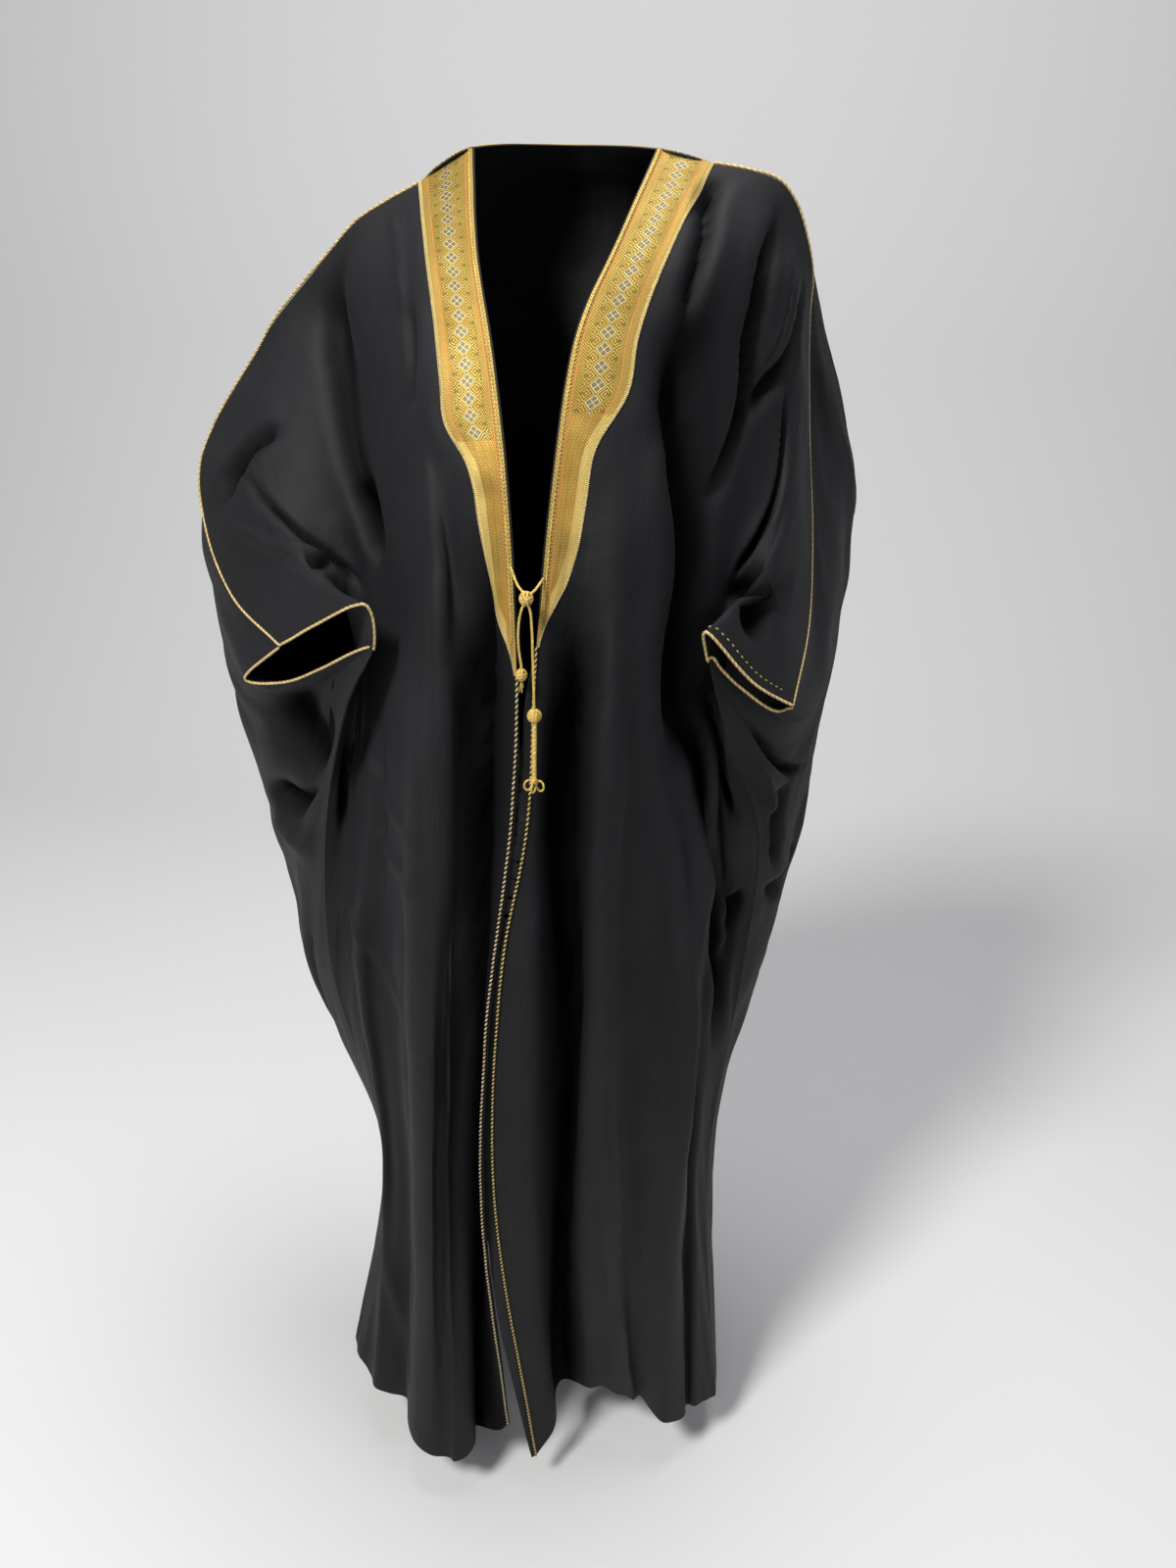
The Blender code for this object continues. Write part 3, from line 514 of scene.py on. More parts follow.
# ---------------------------------------------------------------- node materials
class Nodes:
    """Short hand for a material's node tree."""

    def __init__(self, name):
        self.mat = bpy.data.materials.new(name)
        self.mat.use_nodes = True
        self.t = self.mat.node_tree
        self.bsdf = self.t.nodes['Principled BSDF']

    def put(self, sock, v):
        if isinstance(v, bpy.types.NodeSocket):
            self.t.links.new(v, sock)
        else:
            sock.default_value = v

    def m(self, op, a, b=None, c=None, clamp=False):
        n = self.t.nodes.new('ShaderNodeMath')
        n.operation = op
        n.use_clamp = clamp
        for i, v in enumerate((a, b, c)):
            if v is not None:
                self.put(n.inputs[i], v)
        return n.outputs[0]

    def add(self, a, b):
        return self.m('ADD', a, b)

    def sub(self, a, b):
        return self.m('SUBTRACT', a, b)

    def mul(self, a, b):
        return self.m('MULTIPLY', a, b)

    def absm(self, a):
        return self.m('ABSOLUTE', a)

    def wrap(self, a, p):
        """a folded into -p/2 .. p/2"""
        return self.m('WRAP', a, p / 2, -p / 2)

    def band(self, a, w, soft=.35):
        """1 where |a| < w, fading over soft * w."""
        return self.m('MULTIPLY_ADD', self.absm(a), -1 / (w * soft), 1 / soft, clamp=True)

    def step(self, a, edge, soft):
        """0 below edge, 1 above edge + soft"""
        return self.m('MULTIPLY_ADD', a, 1 / soft, -edge / soft, clamp=True)

    def mix(self, f, a, b):
        n = self.t.nodes.new('ShaderNodeMix')
        n.data_type = 'RGBA'
        self.put(n.inputs['Factor'], f)
        for k, v in (('A', a), ('B', b)):
            s = [x for x in n.inputs if x.name == k and x.type == 'RGBA'][0]
            self.put(s, (*v, 1) if isinstance(v, tuple) else v)
        return [x for x in n.outputs if x.type == 'RGBA'][0]

    def uv(self, name):
        n = self.t.nodes.new('ShaderNodeUVMap')
        n.uv_map = name
        s = self.t.nodes.new('ShaderNodeSeparateXYZ')
        self.t.links.new(n.outputs[0], s.inputs[0])
        return s.outputs[0], s.outputs[1], n.outputs[0]

    def noise(self, scale, detail=2.0, vector=None, rough=.5):
        n = self.t.nodes.new('ShaderNodeTexNoise')
        n.inputs['Scale'].default_value = scale
        n.inputs['Detail'].default_value = detail
        n.inputs['Roughness'].default_value = rough
        if vector is None:
            vector = self.t.nodes.new('ShaderNodeTexCoord').outputs['Object']
        self.t.links.new(vector, n.inputs['Vector'])
        return n.outputs['Fac']

    def bump(self, height, distance, strength=1.0, under=None):
        n = self.t.nodes.new('ShaderNodeBump')
        n.inputs['Strength'].default_value = strength
        n.inputs['Distance'].default_value = distance
        self.t.links.new(height, n.inputs['Height'])
        if under is not None:
            self.t.links.new(under, n.inputs['Normal'])
        return n.outputs[0]

    def finish(self, colour, rough, metal=0.0, normal=None, **more):
        self.put(self.bsdf.inputs['Base Color'], (*colour, 1) if isinstance(colour, tuple) else colour)
        self.put(self.bsdf.inputs['Roughness'], rough)
        self.put(self.bsdf.inputs['Metallic'], metal)
        if normal is not None:
            self.t.links.new(normal, self.bsdf.inputs['Normal'])
        for k, v in more.items():
            self.put(self.bsdf.inputs[k.replace('_', ' ')], v)
        return self.mat


def cloth_material(name):
    """Black crepe: fine weave, slight blue cast, soft sheen, faint slubs down the cloth, and painted shade
    in its folds.
    """
    N = Nodes(name)
    x, y, vec = N.uv('metres')
    weave = N.mul(N.m('SINE', N.mul(x, 2 * math.pi / .0011)), N.m('SINE', N.mul(y, 2 * math.pi / .0014)))
    grit = N.noise(900, 3, vec)
    broad = N.noise(7, 3)
    s = N.t.nodes.new('ShaderNodeMapping')
    s.inputs['Scale'].default_value = (420, 16, 1)
    N.t.links.new(vec, s.inputs['Vector'])
    slub = N.noise(1.0, 2, s.outputs[0])
    tone = N.mix(N.step(broad, .38, .26), (.0052, .0055, .0067), (.0079, .0083, .0100))
    tone = N.mix(N.mul(N.step(slub, .52, .20), .45), tone, (.0130, .0131, .0147))
    # painted shade: where the 'fold' layer is high, in the troughs and along the shade paths, the colour
    # darkens and the gloss and sheen fade
    fold = N.uv('fold')[0]
    tone = N.mix(N.mul(fold, .88), tone, (.0014, .0014, .0017))
    shine = N.m('MULTIPLY_ADD', fold, -.205, .22)
    sheen = N.m('MULTIPLY_ADD', fold, -.019, .02)
    h = N.add(N.mul(weave, .35), N.add(N.mul(grit, .9), N.mul(slub, .8)))
    broad_bump = N.bump(N.noise(38, 3, None, .55), .0016, .55)
    normal = N.bump(h, .00022, .60, broad_bump)
    rough = N.m('MULTIPLY_ADD', grit, .16, .56)
    return N.finish(tone, rough, 0.0, normal, Sheen_Weight=sheen, Sheen_Roughness=.5,
                    Sheen_Tint=(.70, .74, .82, 1), Specular_IOR_Level=shine)


PALE = (.50, .355, .075)
BRIGHT = (.40, .265, .036)
DEEP = (.20, .105, .014)
OLIVE = (.135, .082, .009)
COPPER = (.52, .20, .040)
SILVER = (.13, .112, .060)
DARK = (.055, .034, .012)


def zari_material(name):
    """Gold woven band.

    'inner' holds metres from the neck edge and along the band; 'outer' metres from the far edge and
    how wide the band is, from 0 to 1.
    """
    N = Nodes(name)
    a, v, vec = N.uv('inner')
    b, k, _ = N.uv('outer')
    x = N.mul(N.sub(a, b), .5)
    ax = N.absm(x)
    # herringbone lines, leaning both ways from the centre
    lean = N.add(v, N.mul(ax, .95))
    hb = N.m('SINE', N.mul(lean, 2 * math.pi / .0024))
    herring = N.step(hb, -.25, .7)
    # chevrons of the narrow part
    tri = N.absm(N.wrap(x, .0075))
    zig = N.m('SINE', N.mul(N.add(v, N.mul(tri, 1.15)), 2 * math.pi / .0026))
    chev = N.step(zig, -.20, .7)
    zcol = N.band(N.wrap(N.add(x, .001875), .00375), .0004, .6)
    # lattice of small diamonds down the centre: their pitch and half width
    P, R = .0150, .0066
    vy = N.wrap(v, P)
    avy = N.absm(vy)
    dia = N.add(ax, avy)
    inside = N.step(N.mul(dia, -1), -R, .0002)
    grid = N.m('MAXIMUM', N.band(N.add(x, vy), .00050), N.band(N.sub(x, vy), .00050))
    rim = N.band(N.sub(dia, R), .00060)
    lattice = N.mul(N.m('MAXIMUM', grid, rim), N.m('MAXIMUM', inside, rim))
    # hooked rings in the gaps between the diamonds
    gy = N.absm(N.wrap(N.add(v, P / 2), P))
    gx = N.absm(N.sub(ax, .0082))
    hooks = N.step(N.m('SINE', N.mul(N.add(gx, gy), 2 * math.pi / .0030)), -.15, .6)
    cut = N.mul(N.band(N.sub(gy, .0006), .0007), N.step(ax, .0085, .0004))
    hooks = N.mul(hooks, N.sub(1.0, cut))
    fringe = N.step(ax, .0125, .0010)
    field = N.m('MAXIMUM', N.mul(hooks, N.sub(1.0, fringe)), N.mul(herring, fringe))
    wide_line = N.m('MAXIMUM', lattice, N.mul(field, N.sub(1.0, inside)))
    wide = N.step(k, .40, .12)
    narrow = N.sub(1.0, wide)
    line = N.add(N.mul(wide_line, wide), N.mul(chev, narrow))
    # colour of the field
    glint = N.noise(1500, 2, vec)
    patch = N.noise(30, 2, vec)
    gold = N.mix(N.step(patch, .40, .20), PALE, BRIGHT)
    low_w = N.mix(inside, OLIVE, SILVER)
    orange = N.mix(N.step(N.noise(22, 2, vec), .44, .16), DEEP, (.34, .16, .025))
    low = N.mix(wide, orange, low_w)
    col = N.mix(line, low, gold)
    pale_dia = N.mul(lattice, wide)
    col = N.mix(N.mul(pale_dia, .75), col, (.66, .57, .34))
    col = N.mix(N.mul(zcol, N.mul(narrow, .35)), col, OLIVE)
    # outer side: orange braid, copper line, pale selvedge
    orange_col = N.mul(N.band(N.sub(b, .0062), .0028, .25), N.add(N.mul(wide, .75), .10))
    braid = N.m('SINE', N.mul(N.add(v, N.mul(b, .8)), 2 * math.pi / .0019))
    col = N.mix(orange_col, col, N.mix(N.step(braid, -.3, .7), (.28, .165, .025), (.48, .31, .07)))
    cop_o = N.mul(N.band(N.sub(b, .0096), .0008, .4), N.add(N.mul(wide, .9), .05))
    col = N.mix(cop_o, col, COPPER)
    strip_o = N.mul(N.band(N.sub(b, .0050), .0048, .25), narrow)
    strip = N.mix(N.step(braid, -.2, .6), (.42, .30, .07), (.74, .56, .19))
    col = N.mix(N.mul(strip_o, .85), col, strip)
    sel = N.step(N.mul(b, -1), -.0030, .0003)
    over = N.m('SINE', N.mul(v, 2 * math.pi / OVERCAST))
    col = N.mix(sel, col, N.mix(N.step(over, -.5, .6), (.34, .23, .055), (.60, .46, .17)))
    # inner side: copper line, pale chain with dark dots
    cop_i = N.band(N.sub(a, .0066), .0008, .4)
    col = N.mix(cop_i, col, COPPER)
    chain = N.step(N.mul(a, -1), -.0056, .0003)
    link = N.m('SINE', N.mul(N.add(v, N.absm(N.sub(a, .0028))), 2 * math.pi / .0034))
    col = N.mix(chain, col, N.mix(N.step(link, -.6, .8), (.26, .16, .03), (.50, .35, .09)))
    dots = N.mul(N.band(N.wrap(v, .0034), .00085, .5), N.band(N.sub(a, .0036), .0008, .5))
    col = N.mix(dots, col, DARK)
    thin = N.band(N.sub(a, .0050), .00035, .6)
    col = N.mix(N.mul(thin, .6), col, DARK)
    # painted glints: random specks of pale gold standing in for light catching the threads
    col = N.mix(N.mul(N.step(glint, .50, .25), .16), col, (.98, .86, .52))
    # relief
    h = N.add(N.mul(line, .8), N.mul(glint, .5))
    h = N.add(h, N.mul(chain, N.mul(link, .35)))
    h = N.add(h, N.mul(sel, N.mul(over, .4)))
    h = N.sub(h, N.mul(N.m('MAXIMUM', N.m('MAXIMUM', cop_i, cop_o), dots), .7))
    h = N.add(h, N.mul(pale_dia, .5))
    nrm = N.bump(h, .00045, .85)
    rough = N.m('MULTIPLY_ADD', glint, .22, .38)
    return N.finish(col, rough, .50, nrm, Specular_IOR_Level=.25)


def thread_material(name, colour, dark, rough=.42, metal=.35, pitch=.0011):
    """Metal-wrapped thread: fine wraps round the strand, given as metres along it."""
    N = Nodes(name)
    x, y, vec = N.uv('metres')
    wrap = N.m('SINE', N.mul(N.add(y, N.mul(x, .6)), 2 * math.pi / pitch))
    g = N.noise(1300, 2, vec)
    worn = N.noise(60, 2, vec)
    col = N.mix(N.step(wrap, -.7, 1.0), dark, colour)
    bright = tuple(min(1, c * 1.25 + .03) for c in colour)
    col = N.mix(N.mul(N.step(worn, .50, .2), .35), col, bright)
    nrm = N.bump(N.add(wrap, g), .00012, .7)
    return N.finish(col, N.m('MULTIPLY_ADD', g, .2, rough - .1), metal, nrm)


def plain_material(name, colour, rough, scale):
    """Matt painted board for the floor and backdrop, very slightly uneven."""
    N = Nodes(name)
    f = N.noise(scale, 3)
    col = N.mix(f, tuple(c * .985 for c in colour), colour)
    return N.finish(col, rough, 0.0, N.bump(N.noise(scale * 40, 2), .0004, .2))


M_CLOTH = cloth_material('crepe_black')
M_ZARI = zari_material('zari_gold')
M_PALE = thread_material('thread_pale_gold', (.86, .72, .42), (.50, .36, .13), .46, .20)
M_PALE2 = thread_material('thread_old_gold', (.66, .47, .17), (.34, .21, .05), .44, .30)
M_GOLD = thread_material('thread_gold', (.86, .62, .17), (.50, .31, .05), .38, .40)
M_GOLD2 = thread_material('thread_yellow_gold', (.92, .72, .24), (.56, .36, .07), .36, .40)
M_BLACK = thread_material('thread_black', (.020, .018, .016), (.008, .008, .008), .60, 0.0)


# ---------------------------------------------------------------- meshes
def mesh_piece(name, verts, faces, uvs, mats, replaces=(), mat_index=None, smooth=60):
    """One piece of the frame's one body; uvs holds a (u, v) per vertex under each layer's name."""
    me = bpy.data.meshes.new(name)
    me.from_pydata([tuple(v) for v in verts], [], [tuple(f) for f in faces])
    loops = np.zeros(len(me.loops), dtype=np.int32)
    me.loops.foreach_get('vertex_index', loops)
    for key, per in uvs.items():
        layer = me.uv_layers.new(name=key)
        layer.data.foreach_set('uv', np.asarray(per, dtype=np.float32)[loops].ravel())
    for m in mats:
        me.materials.append(m)
    if mat_index is not None:
        me.polygons.foreach_set('material_index', np.asarray(mat_index, dtype=np.int32))
    me.validate()
    ob = bpy.data.objects.new(name, me)
    bpy.context.collection.objects.link(ob)
    me.shade_smooth()
    me.set_sharp_from_angle(angle=math.radians(smooth))
    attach(ob, 'root')
    if replaces:
        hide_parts(*replaces)
    return ob


def layers(**pairs):
    """UV layers out of two grids each."""
    return {key: np.stack(pair, axis=2) for key, pair in pairs.items()}


def shell(name, g, n, lo, hi, mat, node, uvs):
    """Closed thin cloth on grid g, from lo to hi metres outward. lo and hi are numbers or grids."""
    nr, nc = g.shape[:2]
    one = np.ones((nr, nc))
    outer = g + n * (one * hi)[:, :, None]
    inner = g + n * (one * lo)[:, :, None]
    verts = np.concatenate([outer.reshape(-1, 3), inner.reshape(-1, 3)])
    idx = np.arange(nr * nc).reshape(nr, nc)
    quads = np.stack([idx[:-1, :-1], idx[:-1, 1:], idx[1:, 1:], idx[1:, :-1]], axis=-1).reshape(-1, 4)
    r, c = nr // 2, nc // 2
    if np.dot(np.cross(g[r, c + 1] - g[r, c], g[r + 1, c] - g[r, c]), n[r, c]) < 0:
        quads = quads[:, ::-1]
    under = quads[:, ::-1] + nr * nc
    edge = np.concatenate([idx[0, :], idx[1:, -1], idx[-1, -2::-1], idx[-2:0:-1, 0]])
    nxt = np.roll(edge, -1)
    rim = np.stack([edge, edge + nr * nc, nxt + nr * nc, nxt], axis=-1)
    # the rim must run against the outer faces' own direction
    q = quads[0]
    pairs = {(int(q[i]), int(q[(i + 1) % 4])) for i in range(4)}
    if (int(edge[0]), int(nxt[0])) in pairs:
        rim = np.stack([nxt, nxt + nr * nc, edge + nr * nc, edge], axis=-1)
    faces = np.concatenate([quads, under, rim])
    both = {k: np.concatenate([v.reshape(-1, 2)] * 2) for k, v in uvs.items()}
    return mesh_piece(name, verts, faces.tolist(), both, [mat], (node,))


def run_along(P):
    """Distance run at each point of a path."""
    return np.concatenate([[0], np.cumsum(np.linalg.norm(np.diff(P, axis=0), axis=1))])


def smooth_path(pts, per=8):
    """Curve through the points, with per steps between two of them."""
    P = np.asarray(pts, float)
    run = run_along(P)
    return spline(run, P, np.linspace(0, run[-1], per * (len(P) - 1) + 1))


def even_path(P, step):
    """The path at even steps of about the given length, and its whole length."""
    run = run_along(P)
    n = max(int(round(run[-1] / step)), 3)
    x = np.linspace(0, run[-1], n + 1)
    return np.array([np.interp(x, run, P[:, i]) for i in range(3)]).T, run[-1]


def frames(P):
    """Tangent and two side directions carried along the path without twist."""
    T = np.gradient(P, axis=0)
    T /= np.maximum(np.linalg.norm(T, axis=1, keepdims=True), 1e-12)
    a = np.array([0, 0, 1.0]) if abs(T[0, 2]) < .9 else np.array([1.0, 0, 0])
    U = np.zeros_like(P)
    U[0] = unit(a - T[0] * np.dot(a, T[0]))
    for i in range(1, len(P)):
        U[i] = unit(U[i - 1] - T[i] * np.dot(U[i - 1], T[i]))
    return T, U, np.cross(T, U)


def tube(P, rad, sides):
    """Verts, faces and UVs of a capped tube; rad is a number or one per point."""
    _, U, V = frames(P)
    n = len(P)
    r = np.ones(n) * rad
    ang = 2 * math.pi * np.arange(sides) / sides
    ring = np.cos(ang)[None, :, None] * U[:, None, :] + np.sin(ang)[None, :, None] * V[:, None, :]
    verts = (P[:, None, :] + ring * r[:, None, None]).reshape(-1, 3)
    uv = np.stack([np.tile(ang / (2 * math.pi) * .006, n), np.repeat(run_along(P), sides)], axis=1)
    i = np.arange(n - 1)[:, None] * sides
    j = np.arange(sides)[None, :]
    k = (j + 1) % sides
    faces = np.stack([i + j, i + k, i + sides + k, i + sides + j], axis=-1).reshape(-1, 4).tolist()
    faces.append(list(range(sides))[::-1])
    faces.append([(n - 1) * sides + q for q in range(sides)])
    return verts, faces, uv


def coil(P, U, V, turn, off):
    """A path laid round P at the given angles, off metres from it."""
    return P + (np.cos(turn)[:, None] * U + np.sin(turn)[:, None] * V) * off


def twist(P, R, pitch, plies=(0, 1), per_turn=8, sides=6, phase=0.0):
    """Strands laid round the path, as tube parts; plies gives each strand's material index."""
    P, L = even_path(P, pitch / per_turn)
    _, U, V = frames(P)
    run = np.linspace(0, L, len(P))
    r = R * (.54 if len(plies) == 2 else .50)
    rr = np.ones(len(P)) * r
    rr[[0, -1]] *= .6
    parts = []
    for i, mi in enumerate(plies):
        Q = coil(P, U, V, 2 * math.pi * (run / pitch + i / len(plies)) + phase, R - r)
        parts.append((*tube(Q, rr, sides), mi))
    return parts


def thread_piece(name, parts, mats, replaces=()):
    """One piece out of tube parts, each (verts, faces, uv, material index)."""
    verts, faces, uvs, index = [], [], [], []
    count = 0
    for v, f, uv, mi in parts:
        verts.append(v)
        faces += [[q + count for q in face] for face in f]
        uvs.append(uv)
        index += [mi] * len(f)
        count += len(v)
    uvs = {'metres': np.concatenate(uvs)}
    return mesh_piece(name, np.concatenate(verts), faces, uvs, mats, replaces, index, smooth=80)


def wound_knot(name, c, r, tr, replaces, squash, loops, seed):
    """A knot of radius r as turns of tie cord of radius tr, wound in three directions."""
    parts = []
    c = np.array(c)
    rng = np.random.default_rng(seed)
    a = np.linspace(0, 2 * math.pi, 29)
    for ax in range(3):
        for i in range(loops):
            lift = (i - (loops - 1) / 2) * tr * 1.75
            rr = math.sqrt(max((r - tr) ** 2 - lift ** 2, tr * tr))
            jit = rng.uniform(-.25, .25)
            ring = [np.cos(a) * rr, np.sin(a) * rr, np.ones(29) * lift + np.sin(a + jit) * tr * .35]
            ring = np.roll(np.stack(ring, axis=1), ax, axis=1)
            ring[:, 2] *= squash
            tilt = .35 * (ax - 1) + jit * .4
            ct, st = math.cos(tilt), math.sin(tilt)
            ring = ring @ np.array([[ct, st, 0], [-st, ct, 0], [0, 0, 1]])
            parts += twist(c + ring * (1 + .04 * ax), tr, tr * 4.2, (0, 1), 7, 5, phase=ax + i)
    up = np.array([0, 0, r * .62 * squash])
    core = smooth_path([c - up, c, c + up], 4)
    rad = (r - tr * 1.2) * np.sin(np.linspace(.35, math.pi - .35, len(core)))
    parts.append((*tube(core, rad, 10), 0))
    return thread_piece(name, parts, TIE, replaces)


def cord_piece(name, P, R, pitch, mats, replaces=(), plies=(0, 1), per_turn=8, sides=6):
    """A twisted cord as one piece."""
    return thread_piece(name, twist(P, R, pitch, plies, per_turn, sides), mats, replaces)


# ---------------------------------------------------------------- cloth
def sideways(g, n, r, col, inward):
    """Unit direction out of the cloth's edge, in its own plane."""
    nr = g.shape[0] - 1
    t = unit(g[min(r + 1, nr), col] - g[max(r - 1, 0), col])
    o = g[r, col] - g[r, inward]
    o = o - t * np.dot(o, t)
    return unit(o - n[r, col] * np.dot(o, n[r, col]))


def edge_beyond_cord(g, n, over=None):
    """The front edge runs on a little past its cord, and the left one passes behind the right one, over."""
    first = TIP * FINE
    line = g[:, 0].copy()
    for r in range(first, g.shape[0]):
        grown = min(1.0, (r - first) / (2.0 * FINE))
        reach, sink = REACH, 0.0
        if over is not None:
            gap = np.linalg.norm(over[r] - line[r])
            above_hem = np.clip((g.shape[0] - 1 - r) / (2.5 * FINE), 0, 1)
            reach, sink = REACH + above_hem * min(max(gap - .0045, 0.0), .0125), SINK
        g[r, 0] = line[r] + sideways(g, n, r, 0, 2) * reach * grown - n[r, 0] * sink * grown
    return line


def cloth(node, G, smap, items, shades, width, seed, over=None):
    """A panel's cloth: the piece, its grid, its normals, its cord's line and the normals along that."""
    front = node != 'back'
    g, sf = finer(G, smap)
    n = outward(g)
    rows = np.arange(g.shape[0])[:, None] / FINE
    below_seam = n * ease(np.clip(rows / 1.2, 0, 1))[:, :, None]
    g, painted_shade = creases(g, below_seam, sf, width, items, shades, front)
    X, Y = lengths(g, 1), lengths(g, 0)
    keep = np.clip((1 - np.abs(sf)) / .06, 0, 1)[:, :, None]
    g = crinkle(g, below_seam * keep, X, Y, seed)
    n_cord = outward(g, n)
    line = edge_beyond_cord(g, n_cord, over) if front else None
    n = outward(g, n_cord)
    thick = np.where(rows > ROWS - .42, H + .0005, H)
    # the 'fold' layer carries the painted shade that darkens the cloth's colour in its folds
    uvs = layers(metres=(X, Y), fold=(painted_shade, painted_shade))
    ob = shell('cloth_' + node, g, n, -thick, thick, M_CLOTH, node, uvs)
    return ob, g, n, line, n_cord


cFR = cloth('front_right', FR, fmap, CREASES_FR, SHADES_FR, .45, 3)
cFL = cloth('front_left', FL, fmap, CREASES_FL, SHADES_FL, .40, 5, cFR[3])
cBK = cloth('back', BK, bmap, CREASES_BK, SHADES_BK, .62, 9)
gFR, nFR = cFR[1:3]
gFL, nFL = cFL[1:3]
gBK, nBK = cBK[1:3]


# ---------------------------------------------------------------- gold bands
def across(x, run, values):
    """Points or normals of one row at distances x along it."""
    return np.array([np.interp(x, run, values[:, i]) for i in range(3)]).T


def front_band(tag, g, n):
    """The woven strip down a front: resampled evenly across, a hair back from the cloth's edge."""
    rows = TIP * FINE + 1
    cols = BCOLS * FINE + 1
    run = lengths(g[:rows, :cols], 1)
    G, Nn, inner, outer, wide = [], [], [], [], []
    for r in range(rows):
        w = run[r, -1] * min(1.0, ((rows + .5 - r) / (1.6 * FINE)) ** .75)
        m = min(.0016, .12 * w)
        x = np.linspace(m, w, ACROSS + 1)
        G.append(across(x, run[r], g[r, :cols]))
        q = across(x, run[r], n[r, :cols])
        Nn.append(q / np.linalg.norm(q, axis=1, keepdims=True))
        inner.append(x - m)
        outer.append(w - x)
        wide.append(np.full(len(x), np.clip((w - .040) / .014, 0, 1)))
    G, Nn, inner, outer, wide = map(np.array, (G, Nn, inner, outer, wide))
    down = np.repeat(lengths(G, 0).mean(axis=1)[:, None], G.shape[1], axis=1)
    uvs = layers(inner=(inner, down), outer=(outer, wide))
    ob = shell('zari_' + tag, G, Nn, B0, B1, M_ZARI, 'band_' + tag, uvs)
    return ob, G, Nn


bR = front_band('right', gFR, nFR)
bL = front_band('left', gFL, nFL)

# the neck band: two rows of the back, turned down at both ends
c0, c1 = (mid - 5) * FINE, (mid + 5) * FINE + 1
G, Nn = gBK[:2 * FINE + 1, c0:c1], nBK[:2 * FINE + 1, c0:c1]
down = lengths(G, 0)
along = lengths(G, 1)
leg = 2 * FINE
in_leg = np.maximum(along[:, leg:leg + 1] - along, 0) + np.maximum(along - along[:, -leg - 1:-leg], 0)
first_half = np.arange(G.shape[1])[None, :] < G.shape[1] // 2
leg_width = np.where(first_half, along[:, leg:leg + 1], along[:, -1:] - along[:, -leg - 1:-leg])
inner = np.maximum(down, in_leg)
outer = np.where(down >= in_leg, down[-1:] - down, leg_width - in_leg)
length = np.where(down >= in_leg, along, down)
uvs = layers(inner=(inner, length), outer=(outer, np.ones_like(inner)))
bN = shell('zari_neck', G, Nn, B0, B1, M_ZARI, 'band_neck', uvs)


def overcast(tag, P):
    """Overcast stitches binding a band's outer edge."""
    P, L = even_path(P, OVERCAST / 6)
    _, U, V = frames(P)
    Q = coil(P, U, V, 2 * math.pi * np.linspace(0, L, len(P)) / OVERCAST, .0007)
    thread_piece('overcast_' + tag, [(*tube(Q, .00040, 4), 0)], [M_PALE])


half_up = (B0 + B1) / 2
overcast('right', bR[1][:, -1] + bR[2][:, -1] * half_up)
overcast('left', bL[1][:, -1] + bL[2][:, -1] * half_up)
neck_mid = G + Nn * half_up
overcast('neck', np.concatenate([neck_mid[:, 0], neck_mid[-1, 1:-1], neck_mid[::-1, -1]]))


def chain(tag, lines):
    """Raised chain down the neck edge of a band; lines holds points and normals inward from that edge."""
    P = []
    for points, up in lines:
        run = run_along(points)
        w = min(CHAIN_IN, run[-1] * .35)
        P.append((across([w], run, points) + across([w], run, up) * (B1 + .0004))[0])
    cord_piece('chain_' + tag, np.array(P), CHAIN_R, CHAIN_PITCH, [M_GOLD, M_PALE2])


for tag, band in (('right', bR), ('left', bL)):
    chain(tag, [(band[1][r], band[2][r]) for r in range(TIP * FINE - 3)])
chain('neck', [(G[:, c], Nn[:, c]) for c in range(leg, G.shape[1] - leg)])


# ---------------------------------------------------------------- piping and edge cords
def seam_path(seam):
    """Line of the top seam's piping, sunk a little where the panels meet at an angle."""
    pts = []
    for c in range(BCOLS, last + 1):
        S, f, b = seam[(0, c)]
        lean = np.linalg.norm(f + b) / 2
        pts.append(S - unit(f + b) * lean * .0026 if lean > .02 else S)
    return smooth_path(pts, 8)


def cuff_path(g, n, rows, col, inward):
    """Line of a cuff's piping, just outside the cloth's edge."""
    pts = []
    for r in range(rows):
        pts.append(g[r, col] + sideways(g, n, r, col, inward) * (PIPE_R + .0002) + n[r, col] * .0002)
    return np.array(pts)


def piping(name, path, node):
    """A cord of pale piping."""
    cord_piece('piping_' + name, path, PIPE_R, PIPE_PITCH, [M_PALE, M_PALE2], (node,))


cuff_col = last * FINE
for tag, seam, sign, front, yarn in (('right', seamR, -1, cFR, M_PALE), ('left', seamL, 1, cFL, M_GOLD2)):
    _, g, n, line, n_cord = front
    piping('seam_' + tag, seam_path(seam), 'piping_top_' + tag)
    cuff = cuff_path(g, n, UNDER * FINE + 1, cuff_col, cuff_col - 2)
    piping('cuff_front_' + tag, cuff, 'piping_cuff_%s_front' % tag)
    back_edge = back_col(sign, last) * FINE
    cuff = cuff_path(gBK, nBK, UNDER * FINE, back_edge, back_edge - sign * 2)
    piping('cuff_back_' + tag, cuff, 'piping_cuff_%s_back' % tag)
    edge = line[TIP * FINE:] + n_cord[TIP * FINE:, 0] * (H + PIPE_R * .85)
    yarns = [yarn, M_BLACK]
    cord_piece('edge_cord_' + tag, edge, PIPE_R * .92, EDGE_PITCH, yarns, ('cord_edge_' + tag,))


